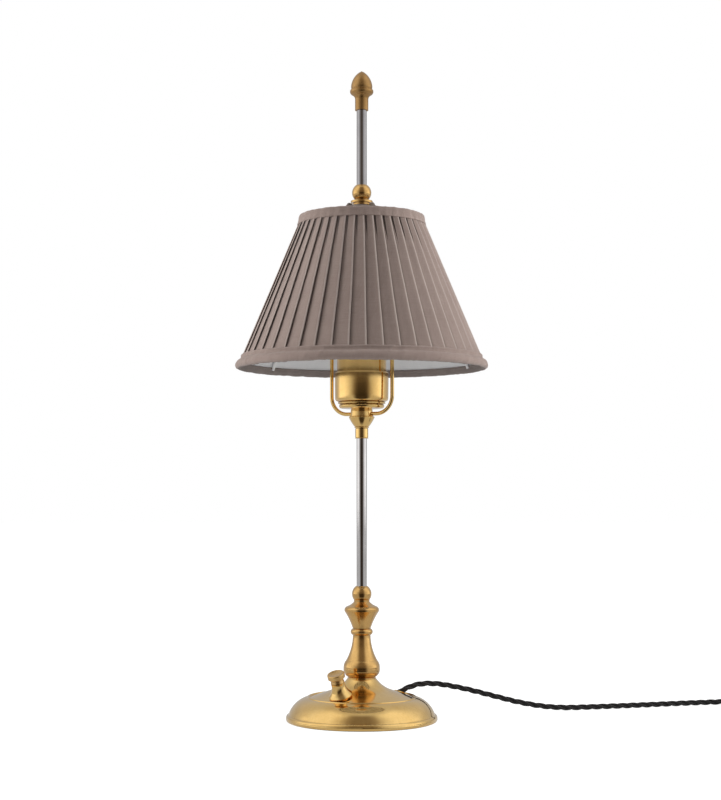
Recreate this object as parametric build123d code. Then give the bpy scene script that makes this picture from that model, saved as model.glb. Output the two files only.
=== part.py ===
from build123d import *
import os
from math import atan2, cos, hypot, radians, sin, tan

# A bouillotte lamp: spun brass base with a rotary switch, turned baluster, steel tube, brass lamp
# holder inside a wire harp, knife-pleated shade hung from a spider, and a screwed top stem with an
# acorn. Millimetres. Z is the lamp's axis, z = 0 is the table, and the front is at -Y.

# ---------------------------------------------------------------- sizes
FIT = 0.05  # clearance of pins, tubes and plugs in their bores, all round
LOOSE = 0.3  # clearance of curved faces that move past each other

# base
BASE_RADIUS = 68.0  # the rim at its widest
BASE_HEIGHT = 38.6  # table to the seat of the baluster
BASE_WALL = 1.6
BASE_LIFT = 0.5  # the felt stands this far out of the rim
RIM_HEIGHT = 5.3  # rim bead, above the base's lower edge
RIM_TUCK = 0.6
RIM_INSET = 1.9  # from the rim in to the fine groove above it
GROOVE_WIDTH = 0.5
DOME_INSET = 17.6  # from the groove in to the dome's top
DOME_SWELL = 0.13
DOME_HEIGHT = 21.5  # top of the dome, where the fine step starts
STEP_WIDTH = 1.6
STEP_FALL = 0.6
STEP_SWELL = 0.15
SLOPE_ANGLE = 18.5
COVE_RADIUS = 28.0  # the slope ends and the cove starts here
COVE_HOLLOW = 0.08
COLLAR_RADIUS = 13.0
COLLAR_HEIGHT = 0.6
FELT_THICKNESS = 1.5
WEIGHT_INSET = 9.1  # from the groove in to the weight
WEIGHT_HOLE = 14.0
WEIGHT_HEIGHT = 7.0
WEIGHT_CHAMFER = 1.5

# threaded tubes and their nuts
NIPPLE_RADIUS = 4.0
NIPPLE_BORE = 2.7
BASE_NIPPLE_TAIL = 8.0  # length below the washer
WASHER_RADIUS = 10.0
WASHER_THICKNESS = 1.5
NUT_FLATS = 13.0
BASE_NUT_HEIGHT = 4.0
HOLDER_NUT_HEIGHT = 3.2

# baluster
BALUSTER_HEIGHT = 69.6
FOOT_RADIUS = 12.2
BELLY_RADIUS = 16.4
BELLY_HEIGHT = 8.5
NECK_RADIUS = 8.0
NECK_HEIGHT = 38.2
BEAD_LENGTH = 5.8
BEAD_SWELL = 0.345
CUP_RADIUS = 15.6
CUP_HEIGHT = 59.5
CUP_RIM = 1.8
SHOULDER_RADIUS = 13.0
SHOULDER_HEIGHT = 64.0
BALUSTER_TOP_RADIUS = 7.1

# tube, balls and neck
BALL_RADIUS = 8.8
BALL_FOOT_RADIUS = 7.0
TUBE_RADIUS = 4.65
TUBE_WALL = 0.95
TUBE_LENGTH = 149.0
TUBE_SEAT = 4.8  # height of the tube's end above the ball's foot
NIPPLE_SEAT = 2.3  # how far the base nipple reaches into the ball
SLEEVE_RADIUS = 5.9
SLEEVE_FLARE = 0.3
SLEEVE_LENGTH = 8.9
SLEEVE_GRIP = 8.3  # length of tube inside the sleeve
SLEEVE_RING_RADIUS = 6.6
SLEEVE_RING = 2.0
SLEEVE_GROOVE = 5.5

# harp
HUB_FOOT_RADIUS = 6.6
HUB_RADIUS = 11.6
HUB_BOWL_HEIGHT = 7.7  # foot to the rim
HUB_RIM = 1.3
HUB_BLOCK_RADIUS = 10.6  # the block that holds the wire, just above the rim
HUB_TOP_RADIUS = 9.6
HUB_HEIGHT = 16.4
HARP_WIRE = 3.4
HARP_HALF_WIDTH = 31.0
HARP_BEND = 16.0
HARP_WIRE_DROP = 5.0  # wire centre below the hub's top
HARP_RISE = 173.0  # lower wire centre to upper wire centre
HARP_TURN = -28.0  # the right arm stands this many degrees round from +X
HARP_SOCKET = 5.0  # the wire's ends reach in to this radius
TOP_HUB_RADIUS = 8.0
TOP_HUB_HEIGHT = 20.8
TOP_HUB_BELOW_WIRE = 5.0
TOP_HUB_CHAMFER = 1.0
STUD_RADIUS = 4.95
STUD_LENGTH = 21.0
STUD_IN_HUB = 9.8

# lamp holder
CUP_WALL = 1.0
HOLDER_BEAD_RADIUS = 17.0
HOLDER_BEAD_HEIGHT = 1.1
HOLDER_CUP_RADIUS = 25.0
HOLDER_CUP_BELLY = 14.5  # height at which the cup is widest
HOLDER_NECK_RADIUS = 23.7
HOLDER_NECK_HEIGHT = 30.7
HOLDER_MOUTH_RADIUS = 23.0
HOLDER_CUP_HEIGHT = 33.2
HOLDER_SHELL_RADIUS = 22.4
HOLDER_SHELL_HEIGHT = 23.8
HOLDER_SPIGOT = 6.0
HOLDER_LIP_RADIUS = 17.0
INSERT_RADIUS = 19.5
INSERT_SKIRT_RADIUS = 14.5
INSERT_SKIRT_WALL = 2.5
INSERT_SKIRT_HEIGHT = 16.0
INSERT_HEIGHT = 28.0
CONTACT_WELL_RADIUS = 8.0
CONTACT_WELL_DEPTH = 7.0
CONTACT_STRIP = 0.8
CONTACT_WIDTH = 5.0
CONTACT_REACH = 6.0
CONTACT_RISE = 5.8
SCREW_SHELL_WALL = 0.5
SCREW_SHELL_HEIGHT = 24.0
TERMINAL_RADIUS = 1.6
TERMINAL_HEAD_RADIUS = 2.8
TERMINAL_HEAD = 1.4
TERMINAL_SLOT = 0.8
TERMINAL_DEPTH = 5.0
TERMINAL_BELOW_TOP = 7.0

# bulb
BULB_CAP_RADIUS = 13.0
BULB_CAP_LENGTH = 22.0
BULB_TIP_RADIUS = 4.8
BULB_TIP_LENGTH = 3.0
BULB_RADIUS = 22.5
BULB_NECK_RADIUS = 12.4
BULB_NECK_LENGTH = 5.0
BULB_NECK_FLARE = 3.0
BULB_GLASS = 0.8
BULB_CENTRE_ABOVE_CAP = 27.0
CONTACT_GAP = 0.2

# switch, measured from the point where its axis leaves the base's surface
SWITCH_DISTANCE = 34.25  # from the lamp's axis
SWITCH_AZIMUTH = -122.5
SWITCH_TILT = 22.0
SWITCH_BODY_SIDE = 16.0
SWITCH_BODY_DEPTH = 10.0
SWITCH_BODY_GAP = 3.0
SWITCH_BUSH_RADIUS = 5.0
SWITCH_BUSH_OUT = 9.0
SWITCH_NUT_RADIUS = 7.0
SWITCH_NUT_THICKNESS = 0.7
SWITCH_NUT_GAP = 0.5
BELL_RADIUS = 10.4
BELL_TOP_RADIUS = 6.1
BELL_HEIGHT = 12.9
BELL_LIP = 0.8
BELL_WALL = 0.8
KNOB_GAP = 0.35
KNOB_SKIRT_RADIUS = 6.1
KNOB_NECK_RADIUS = 5.0
KNOB_NECK_HEIGHT = 2.7
KNOB_RADIUS = 7.7
KNOB_DISC = 4.5
KNOB_ROUND = 0.8
KNOB_HEIGHT = 8.3
KNOB_DISH_RADIUS = 6.2
KNOB_DISH = 0.9
SPINDLE_RADIUS = 2.5
SPINDLE_IN_BODY = 6.0
SPINDLE_IN_KNOB = 6.0

# cord and plug
CORD_DIAMETER = 5.4
CORD_ROUTE = [
    (26.7, 15.7, 18.9), (40.9, 24.1, 27.6), (62.0, 36.5, 30.2), (92.0, 46.8, 24.2),
    (122.0, 53.2, 15.9), (150.0, 59.6, 8.1), (182.0, 66.4, 2.7), (222.0, 75.6, 2.7),
    (264.0, 87.3, 2.7), (305.0, 100.3, 2.7), (340.0, 110.0, 2.7), (362.0, 114.5, 2.7),
    (381.9, 118.0, 2.7),
]
COIL_CENTRE = (388.8, 79.1)
COIL_RADIUS = 39.5  # centreline of the outermost turn
COIL_INNER_RADIUS = 19.7  # centreline of the innermost turn
TAIL_ROUTE = [(428.3, 79.1, 8.1), (428.5, 65.0, 6.3), (428.9, 50.5, 3.15), (429.0, 37.4, 8.1)]
PLUG_LENGTH = 38.0
PLUG_GUARD_RADIUS = 4.4
PLUG_NECK_LENGTH = 12.0
PLUG_NECK_RADIUS = 7.0
PLUG_GRIP_LENGTH = 26.0
PLUG_GRIP_RADIUS = 17.0
PLUG_RADIUS = 18.5
PLUG_ROUND = 1.0
PIN_RADIUS = 2.4
PIN_LENGTH = 19.0
PIN_HALF_SPACING = 9.5
PIN_ROOT = 8.0

# cord bush and grip
BUSH_RADIUS = 3.85
BUSH_LIP = 0.9
BUSH_CLEARANCE = 0.25
GRIP_RADIUS = 5.0
GRIP_LENGTH = 7.0
CORE_DIAMETER = 1.8
CORE_OFFSET = 2.0
CORE_IN_STEM = 1.2
CORE_SPREAD = 9.0
EARTH_LUG = (4.4, 7.5)  # under the washer, clear of the nut
EARTH_TURN = 17.0  # heights at which the leads turn, above the table
NEUTRAL_TURN = 14.0
SWITCHED_TURN = 22.0
LIVE_MIDDLE = (5.0, -9.0, 12.5)

# shade
SHADE_BOTTOM = 316.5  # above the table
SHADE_HEIGHT = 140.5
PLEAT_COUNT = 43
PLEAT_TOP_RADIUS = 58.64  # at the lower edge of the top band
PLEAT_BOTTOM_RADIUS = 108.2  # at the upper edge of the bottom trim
PLEAT_DEPTH = 1.5
PLEAT_STEP = 0.6  # degrees from a fold to the pocket beside it
PLEAT_CLOTH = 0.8
PLEAT_GAP = 0.15  # between the pleated cloth and the lining
LINING = 0.8
BAND_HEIGHT = 9.0
BAND_OUT = 0.3
BAND_LEAN = 1.2
BAND_ROUND = 1.6
BAND_INNER = 2.3
BAND_HEM = 1.0  # the inner turn ends this far above the outer edge
TRIM_HEIGHT = 12.7
TRIM_OUT = 0.4
TRIM_FLARE = 5.9
TRIM_ROLL = 3.0
TRIM_SHOULDER = 6.8  # height at which the roll gives way to the flare
TRIM_INNER = 3.2
TRIM_INNER_HEIGHT = 8.0
RING_WIRE = 3.2
TOP_RING_INSET = 2.5  # ring centre below the shade's top
BOTTOM_RING_INSET = 4.0  # ring centre above the shade's lower edge
STRUT_WIRE = 2.8
STRUT_COUNT = 6
SPIDER_ARMS = 3
SPIDER_AZIMUTH = 82.0
SPIDER_WIRE = 2.8
SPIDER_HUB_RADIUS = 9.4
SPIDER_HUB_THICKNESS = 1.5
SPIDER_HUB_GAP = 0.2
SPIDER_HUMP_RADIUS = 12.6
SPIDER_HUMP_RISE = 2.3  # top of the hump above the hub's lower face
SPIDER_FOOT_RADIUS = 8.8
SPIDER_FOOT_RISE = 0.8
SPIDER_ELBOW_RADIUS = 24.0
SPIDER_ELBOW_RISE = 2.5
SPIDER_BENDS = [12.0, 3.0, 0.9]

# top stem
SKIRT_RADIUS = 7.9
SKIRT_HEIGHT = 2.3
FLANGE_RADIUS = 10.1
FLANGE_HEIGHT = 2.0
NUT_NECK_RADIUS = 6.5
NUT_NECK_HEIGHT = 5.6
TOP_BALL_HEIGHT = 11.7  # ball centre above the skirt's lower face
ROD_SEAT = 13.3
ROD_LENGTH = 77.0
FINIAL_GRIP = 2.3
FINIAL_NECK_RADIUS = 6.1
FINIAL_NECK = 10.8
FINIAL_WAIST_RADIUS = 9.0  # where the hollow turns into the round of the lip
FINIAL_WAIST = 14.5
FINIAL_LIP = 16.8
FINIAL_CUP_RADIUS = 10.7
FINIAL_CUP_HEIGHT = 18.6
ACORN_FOOT_RADIUS = 9.5
ACORN_FOOT = 1.3
ACORN_RADIUS = 9.75
ACORN_SHOULDER = 4.0
ACORN_HEIGHT = 17.8
ACORN_TIP_RADIUS = 2.0
ACORN_TIP = 1.0
ACORN_NUB_RADIUS = 0.9
ACORN_NUB = 0.5
ACORN_STUD_RADIUS = 3.0
ACORN_STUD_LENGTH = 6.0

# ---------------------------------------------------------------- heights that follow
GROOVE_RADIUS = BASE_RADIUS - RIM_INSET
DOME_RADIUS = GROOVE_RADIUS - DOME_INSET
STEP_RADIUS = DOME_RADIUS - STEP_WIDTH
WEIGHT_RADIUS = GROOVE_RADIUS - WEIGHT_INSET
SLOPE = tan(radians(SLOPE_ANGLE))
SLOPE_FOOT = DOME_HEIGHT - STEP_FALL
BALL_FOOT = BASE_HEIGHT + BALUSTER_HEIGHT
TUBE_BOTTOM = BALL_FOOT + TUBE_SEAT
TUBE_TOP = TUBE_BOTTOM + TUBE_LENGTH
SLEEVE_BOTTOM = TUBE_TOP - SLEEVE_GRIP
HUB_BOTTOM = SLEEVE_BOTTOM + SLEEVE_LENGTH + SLEEVE_RING
HOLDER_BOTTOM = HUB_BOTTOM + HUB_HEIGHT
CUP_FLOOR = HOLDER_BOTTOM + CUP_WALL
CUP_TOP = HOLDER_BOTTOM + HOLDER_CUP_HEIGHT
INSERT_TOP = CUP_FLOOR + INSERT_HEIGHT
HOLDER_NIPPLE_BOTTOM = TUBE_TOP + 1.5
HOLDER_NIPPLE_TOP = CUP_FLOOR + HOLDER_NUT_HEIGHT + 5.3
CONTACT_TOP = INSERT_TOP - CONTACT_WELL_DEPTH + CONTACT_RISE
BULB_TIP = CONTACT_TOP + CONTACT_GAP
BULB_CAP_BOTTOM = BULB_TIP + BULB_TIP_LENGTH
BULB_CAP_TOP = BULB_CAP_BOTTOM + BULB_CAP_LENGTH
HARP_BOTTOM = HOLDER_BOTTOM - HARP_WIRE_DROP
HARP_TOP = HARP_BOTTOM + HARP_RISE
TOP_HUB_BOTTOM = HARP_TOP - TOP_HUB_BELOW_WIRE
TOP_HUB_TOP = TOP_HUB_BOTTOM + TOP_HUB_HEIGHT
STUD_BOTTOM = TOP_HUB_TOP - STUD_IN_HUB
STUD_TOP = STUD_BOTTOM + STUD_LENGTH
SPIDER_BOTTOM = TOP_HUB_TOP + SPIDER_HUB_GAP
SPIDER_TOP = SPIDER_BOTTOM + SPIDER_HUB_THICKNESS
STEM_BOTTOM = SPIDER_TOP + SPIDER_HUB_GAP
ROD_BOTTOM = STEM_BOTTOM + ROD_SEAT
ROD_TOP = ROD_BOTTOM + ROD_LENGTH
FINIAL_BOTTOM = ROD_TOP - FINIAL_GRIP
ACORN_BOTTOM = FINIAL_BOTTOM + FINIAL_CUP_HEIGHT

SHADE_TOP = SHADE_BOTTOM + SHADE_HEIGHT
BAND_BOTTOM = SHADE_TOP - BAND_HEIGHT
TRIM_TOP = SHADE_BOTTOM + TRIM_HEIGHT
SHADE_SLOPE = (PLEAT_BOTTOM_RADIUS - PLEAT_TOP_RADIUS) / (BAND_BOTTOM - TRIM_TOP)
TOP_RING_HEIGHT = SHADE_TOP - TOP_RING_INSET
BOTTOM_RING_HEIGHT = SHADE_BOTTOM + BOTTOM_RING_INSET


# ---------------------------------------------------------------- shapes
def outline(start, *steps):
    """Closed face in (radius, height). A step (r, z) is a straight edge and (r, z, bulge) an arc whose
    height is bulge times its chord, swelling to the right of the way along, so outward on a climb."""
    edges = []
    here = start
    for r, z, *bulge in [*steps, start]:
        if bulge:
            chord = hypot(r - here[0], z - here[1])
            edges.append(SagittaArc(here, (r, z), -bulge[0] * chord))
        else:
            edges.append(Line(here, (r, z)))
        here = (r, z)
    return make_face(edges)


def level(run, rise):
    """Bulge of an arc that is level at one end and spans a run and a rise."""
    return tan(atan2(rise, run) / 2) / 2


QUARTER = level(1, 1)


def spin(face):
    return revolve(Plane.XZ * face, Axis.Z)


def rod(radius, bottom, top):
    return Pos(0, 0, bottom) * Cylinder(radius, top - bottom, align=(Align.CENTER, Align.CENTER, Align.MIN))


def tube(outer, inner, bottom, top):
    return rod(outer, bottom, top) - rod(inner, bottom, top)


def hex_nut(flats, bore, bottom, top):
    blank = extrude(RegularPolygon(flats / 2, 6, major_radius=False), top - bottom)
    return Pos(0, 0, bottom) * blank - rod(bore, bottom, top)


def wire(points, diameter, radii):
    path = FilletPolyline(*points, radius=radii) if len(points) > 2 else Line(*points)
    section = Plane(origin=path @ 0, z_dir=path % 0) * Circle(diameter / 2)
    return sweep(section, path=path)


def around(count, solid, start=0.0):
    return [Rot(0, 0, start + 360 / count * k) * solid for k in range(count)]


# ---------------------------------------------------------------- base
def slope_height(radius):
    """Height of the base's straight slope at a distance from the lamp's axis."""
    return SLOPE_FOOT + (STEP_RADIUS - radius) * SLOPE


def base_form():
    edge = BASE_LIFT
    rim_top = edge + RIM_HEIGHT
    return outline(
        (0, edge), (BASE_RADIUS - RIM_TUCK, edge), (BASE_RADIUS, edge + RIM_HEIGHT / 2, 0.12),
        (GROOVE_RADIUS + GROOVE_WIDTH, rim_top, 0.15), (GROOVE_RADIUS, rim_top),
        (GROOVE_RADIUS - GROOVE_WIDTH, rim_top + 2 * GROOVE_WIDTH), (DOME_RADIUS, DOME_HEIGHT, DOME_SWELL),
        (STEP_RADIUS, SLOPE_FOOT, STEP_SWELL), (COVE_RADIUS, slope_height(COVE_RADIUS)),
        (COLLAR_RADIUS, BASE_HEIGHT - COLLAR_HEIGHT, -COVE_HOLLOW), (COLLAR_RADIUS, BASE_HEIGHT),
        (0, BASE_HEIGHT),
    )


def base_shell():
    form = base_form()
    shell = spin(form - Pos(-BASE_WALL, -BASE_WALL) * form)
    switch_hole = SWITCH_PLANE * rod(SWITCH_BUSH_RADIUS + FIT, -SWITCH_BODY_GAP - 2, 3)
    cord_hole = CORD_PLANE * rod(BUSH_RADIUS + FIT, 0, 2 * STEP_RADIUS)
    return shell - rod(NIPPLE_RADIUS + FIT, 0, BASE_HEIGHT) - switch_hole - cord_hole


def base_felt():
    return rod(BASE_RADIUS - BASE_WALL - 0.2, 0, FELT_THICKNESS)


def base_weight():
    top = FELT_THICKNESS + WEIGHT_HEIGHT
    return spin(outline(
        (WEIGHT_HOLE, FELT_THICKNESS), (WEIGHT_RADIUS, FELT_THICKNESS),
        (WEIGHT_RADIUS, top - WEIGHT_CHAMFER), (WEIGHT_RADIUS - WEIGHT_CHAMFER, top), (WEIGHT_HOLE, top),
    ))


WASHER_TOP = BASE_HEIGHT - BASE_WALL
WASHER_BOTTOM = WASHER_TOP - WASHER_THICKNESS
NUT_BOTTOM = WASHER_BOTTOM - BASE_NUT_HEIGHT


# ---------------------------------------------------------------- baluster, ball, tube and neck
def baluster():
    bead_top = NECK_HEIGHT + BEAD_LENGTH
    body = spin(outline(
        (0, 0), (FOOT_RADIUS, 0), (FOOT_RADIUS, 0.7), (BELLY_RADIUS, BELLY_HEIGHT, 0.16),
        (BELLY_RADIUS - 2.4, BELLY_HEIGHT + 7.2, 0.1), (NECK_RADIUS, NECK_HEIGHT, -0.063),
        (NECK_RADIUS, bead_top, BEAD_SWELL), (CUP_RADIUS - 0.2, CUP_HEIGHT - 0.2, -0.035),
        (CUP_RADIUS, CUP_HEIGHT), (CUP_RADIUS, CUP_HEIGHT + CUP_RIM),
        (SHOULDER_RADIUS, SHOULDER_HEIGHT, 0.12), (BALUSTER_TOP_RADIUS, BALUSTER_HEIGHT - 1.7, -0.06),
        (BALUSTER_TOP_RADIUS, BALUSTER_HEIGHT), (0, BALUSTER_HEIGHT),
    ))
    return Pos(0, 0, BASE_HEIGHT) * (body - rod(NIPPLE_RADIUS + FIT, 0, BALUSTER_HEIGHT))


def ball_between(centre, bottom, top):
    return Pos(0, 0, centre) * Sphere(BALL_RADIUS) & rod(BALL_RADIUS, bottom, top)


def lower_ball():
    centre = BALL_FOOT + (BALL_RADIUS**2 - BALL_FOOT_RADIUS**2) ** 0.5
    top = centre + (BALL_RADIUS**2 - (TUBE_RADIUS + 0.6) ** 2) ** 0.5
    ball = ball_between(centre, BALL_FOOT, top)
    ball -= rod(NIPPLE_RADIUS + FIT, BALL_FOOT, BALL_FOOT + NIPPLE_SEAT)
    ball -= rod(NIPPLE_BORE, BALL_FOOT, TUBE_BOTTOM)
    return ball - rod(TUBE_RADIUS + FIT, TUBE_BOTTOM, top)


def neck_sleeve():
    top = SLEEVE_LENGTH + SLEEVE_RING
    body = spin(outline(
        (0, 0), (SLEEVE_RADIUS + SLEEVE_FLARE, 0), (SLEEVE_RADIUS, 1.2, -0.2),
        (SLEEVE_RADIUS, SLEEVE_LENGTH), (SLEEVE_GROOVE, SLEEVE_LENGTH + 0.2),
        (SLEEVE_GROOVE, SLEEVE_LENGTH + 0.5), (SLEEVE_RING_RADIUS - 0.3, SLEEVE_LENGTH + 0.7),
        (SLEEVE_RING_RADIUS - 0.3, top - 0.2, 0.25), (SLEEVE_GROOVE, top), (0, top),
    ))
    body = Pos(0, 0, SLEEVE_BOTTOM) * body
    return body - rod(TUBE_RADIUS + FIT, SLEEVE_BOTTOM, TUBE_TOP) - rod(NIPPLE_RADIUS + FIT, TUBE_TOP, HUB_BOTTOM)


# ---------------------------------------------------------------- harp
def arm_hole(turn, height):
    """The radial hole that takes the end of a harp arm."""
    reach = 3 * HUB_RADIUS
    hole = Rot(0, 90, 0) * rod(HARP_WIRE / 2 + FIT, HARP_SOCKET, reach)
    return Pos(0, 0, height) * Rot(0, 0, turn) * hole


def harp_hub():
    rim_top = HUB_BOWL_HEIGHT + HUB_RIM
    body = spin(outline(
        (0, 0), (HUB_FOOT_RADIUS, 0), (HUB_RADIUS - 0.2, HUB_BOWL_HEIGHT, 0.035),
        (HUB_RADIUS - 0.2, rim_top, 0.2), (HUB_BLOCK_RADIUS, rim_top + 0.3), (HUB_TOP_RADIUS, HUB_HEIGHT),
        (0, HUB_HEIGHT),
    ))
    body = Pos(0, 0, HUB_BOTTOM) * body - rod(NIPPLE_RADIUS + FIT, HUB_BOTTOM, HOLDER_BOTTOM)
    return body - arm_hole(HARP_TURN, HARP_BOTTOM) - arm_hole(HARP_TURN + 180, HARP_BOTTOM)


def harp_arm(turn):
    points = [
        (HARP_SOCKET, 0, HARP_BOTTOM), (HARP_HALF_WIDTH, 0, HARP_BOTTOM),
        (HARP_HALF_WIDTH, 0, HARP_TOP), (HARP_SOCKET, 0, HARP_TOP),
    ]
    return Rot(0, 0, turn) * wire(points, HARP_WIRE, HARP_BEND)


def harp_top_hub():
    body = rod(TOP_HUB_RADIUS, TOP_HUB_BOTTOM, TOP_HUB_TOP)
    body = chamfer(body.edges().group_by(Axis.Z)[0], TOP_HUB_CHAMFER)
    body -= rod(STUD_RADIUS + FIT, STUD_BOTTOM, TOP_HUB_TOP)
    return body - arm_hole(HARP_TURN, HARP_TOP) - arm_hole(HARP_TURN + 180, HARP_TOP)


# ---------------------------------------------------------------- lamp holder
def holder_cup():
    bead = HOLDER_BEAD_RADIUS - 0.4
    wall = CUP_WALL
    outside = outline(
        (0, 0), (bead, 0), (bead, HOLDER_BEAD_HEIGHT, 0.35), (HOLDER_CUP_RADIUS, HOLDER_CUP_BELLY, 0.11),
        (HOLDER_NECK_RADIUS, HOLDER_NECK_HEIGHT), (HOLDER_MOUTH_RADIUS, HOLDER_CUP_HEIGHT, 0.1),
        (0, HOLDER_CUP_HEIGHT),
    )
    inside = outline(
        (0, wall), (bead - 1.9 * wall, wall), (bead - 0.6 * wall, HOLDER_BEAD_HEIGHT + 0.8 * wall),
        (HOLDER_CUP_RADIUS - wall, HOLDER_CUP_BELLY, 0.11), (HOLDER_NECK_RADIUS - wall, HOLDER_NECK_HEIGHT),
        (HOLDER_MOUTH_RADIUS - wall, HOLDER_CUP_HEIGHT, 0.1), (0, HOLDER_CUP_HEIGHT),
    )
    cup = Pos(0, 0, HOLDER_BOTTOM) * spin(outside - inside)
    return cup - rod(NIPPLE_RADIUS + FIT, HOLDER_BOTTOM, CUP_FLOOR)


def holder_shell():
    top = CUP_TOP + HOLDER_SHELL_HEIGHT
    spigot = HOLDER_MOUTH_RADIUS - CUP_WALL - FIT
    bore = spigot - CUP_WALL
    return spin(outline(
        (bore, CUP_TOP - HOLDER_SPIGOT), (spigot, CUP_TOP - HOLDER_SPIGOT), (spigot, CUP_TOP),
        (HOLDER_SHELL_RADIUS, CUP_TOP), (HOLDER_SHELL_RADIUS, top - 1.5), (HOLDER_SHELL_RADIUS - 1.5, top, 0.2),
        (HOLDER_LIP_RADIUS, top), (HOLDER_LIP_RADIUS, top - CUP_WALL), (bore, top - CUP_WALL),
    ))


def at_terminals(solid):
    """Copies of a solid on both sides of the insert, its z axis pointing out from the lamp's axis."""
    height = INSERT_TOP - TERMINAL_BELOW_TOP
    return [Pos(0, 0, height) * Rot(0, 0, turn) * Rot(0, 90, 0) * solid for turn in (90, 270)]


def terminal_screw():
    head_top = INSERT_RADIUS + TERMINAL_HEAD
    slot = Pos(0, 0, head_top) * Box(2 * TERMINAL_HEAD_RADIUS, TERMINAL_SLOT, TERMINAL_HEAD)
    head = rod(TERMINAL_HEAD_RADIUS, INSERT_RADIUS, head_top) - slot
    return head + rod(TERMINAL_RADIUS, INSERT_RADIUS - TERMINAL_DEPTH, INSERT_RADIUS)


def holder_insert():
    skirt = spin(outline(
        (INSERT_SKIRT_RADIUS - INSERT_SKIRT_WALL, 0), (INSERT_SKIRT_RADIUS, 0),
        (INSERT_SKIRT_RADIUS, 10.0), (INSERT_RADIUS, 12.0), (INSERT_RADIUS, INSERT_HEIGHT),
        (CONTACT_WELL_RADIUS, INSERT_HEIGHT), (CONTACT_WELL_RADIUS, INSERT_HEIGHT - CONTACT_WELL_DEPTH),
        (0, INSERT_HEIGHT - CONTACT_WELL_DEPTH), (0, INSERT_SKIRT_HEIGHT),
        (INSERT_SKIRT_RADIUS - INSERT_SKIRT_WALL, INSERT_SKIRT_HEIGHT),
    ))
    insert = Pos(0, 0, CUP_FLOOR) * skirt
    hole = rod(TERMINAL_RADIUS + FIT, INSERT_RADIUS - TERMINAL_DEPTH, INSERT_RADIUS + 1)
    seat = rod(TERMINAL_HEAD_RADIUS + FIT, INSERT_RADIUS, INSERT_RADIUS + 1)
    for cut in at_terminals(hole + seat):
        insert -= cut
    return insert


def centre_contact():
    """A bent strip: foot on the well's floor, riser, and the tongue that the bulb presses on."""
    foot = INSERT_TOP - CONTACT_WELL_DEPTH
    thin = CONTACT_STRIP
    strip = Pos(0, 0, foot + thin / 2) * Box(2 * CONTACT_REACH, CONTACT_WIDTH, thin)
    riser_middle = foot + CONTACT_RISE / 2
    strip += Pos(CONTACT_REACH - thin / 2, 0, riser_middle) * Box(thin, CONTACT_WIDTH, CONTACT_RISE)
    tongue = CONTACT_REACH + CONTACT_REACH / 2
    return strip + Pos(CONTACT_REACH - tongue / 2, 0, foot + CONTACT_RISE - thin / 2) * Box(tongue, CONTACT_WIDTH, thin)


def screw_shell():
    inner = BULB_CAP_RADIUS + LOOSE
    return tube(inner + SCREW_SHELL_WALL, inner, INSERT_TOP, INSERT_TOP + SCREW_SHELL_HEIGHT)


# ---------------------------------------------------------------- bulb
def bulb_skin(inset):
    """The bulb's outside, or its inside by the thickness of the glass."""
    join_radius = BULB_NECK_RADIUS + BULB_NECK_FLARE
    join = BULB_CENTRE_ABOVE_CAP - (BULB_RADIUS**2 - join_radius**2) ** 0.5 + inset / 2
    neck = spin(outline(
        (0, 0), (BULB_NECK_RADIUS - inset, 0), (BULB_NECK_RADIUS - inset, BULB_NECK_LENGTH),
        (join_radius - inset, join, -0.1), (0, join),
    ))
    return neck + Pos(0, 0, BULB_CENTRE_ABOVE_CAP) * Sphere(BULB_RADIUS - inset)


def bulb_glass():
    return Pos(0, 0, BULB_CAP_TOP) * (bulb_skin(0) - bulb_skin(BULB_GLASS))


def bulb_cap():
    return spin(outline(
        (0, BULB_CAP_BOTTOM), (BULB_CAP_RADIUS - 2.0, BULB_CAP_BOTTOM), (BULB_CAP_RADIUS, BULB_CAP_BOTTOM + 2.0),
        (BULB_CAP_RADIUS, BULB_CAP_TOP), (0, BULB_CAP_TOP),
    ))


def bulb_contact():
    return spin(outline(
        (0, BULB_TIP), (BULB_TIP_RADIUS - 1.2, BULB_TIP), (BULB_TIP_RADIUS, BULB_TIP + 1.2, QUARTER),
        (BULB_TIP_RADIUS, BULB_CAP_BOTTOM), (0, BULB_CAP_BOTTOM),
    ))


# ---------------------------------------------------------------- switch
AZIMUTH = (cos(radians(SWITCH_AZIMUTH)), sin(radians(SWITCH_AZIMUTH)))
TILT = (cos(radians(SWITCH_TILT)), sin(radians(SWITCH_TILT)))
SWITCH_PLANE = Plane(  # its x axis points inward along the slope, its z axis out of the base
    origin=(SWITCH_DISTANCE * AZIMUTH[0], SWITCH_DISTANCE * AZIMUTH[1], slope_height(SWITCH_DISTANCE)),
    x_dir=(-TILT[0] * AZIMUTH[0], -TILT[0] * AZIMUTH[1], TILT[1]),
    z_dir=(TILT[1] * AZIMUTH[0], TILT[1] * AZIMUTH[1], TILT[0]),
)
BODY_TOP = -SWITCH_BODY_GAP
BODY_BOTTOM = BODY_TOP - SWITCH_BODY_DEPTH
NUT_TOP = SWITCH_NUT_GAP + SWITCH_NUT_THICKNESS
BELL_BOTTOM = NUT_TOP
BELL_TOP = BELL_BOTTOM + BELL_HEIGHT
KNOB_BOTTOM = BELL_TOP + KNOB_GAP


def switch_body():
    body = Pos(0, 0, BODY_TOP - SWITCH_BODY_DEPTH / 2) * Box(
        SWITCH_BODY_SIDE, SWITCH_BODY_SIDE, SWITCH_BODY_DEPTH)
    body = fillet(body.edges().filter_by(Axis.Z), 1.5)
    return SWITCH_PLANE * (body - rod(SPINDLE_RADIUS + FIT, BODY_TOP - SPINDLE_IN_BODY, BODY_TOP))


def switch_bush():
    return SWITCH_PLANE * tube(SWITCH_BUSH_RADIUS, SPINDLE_RADIUS + FIT, BODY_TOP, SWITCH_BUSH_OUT)


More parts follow.
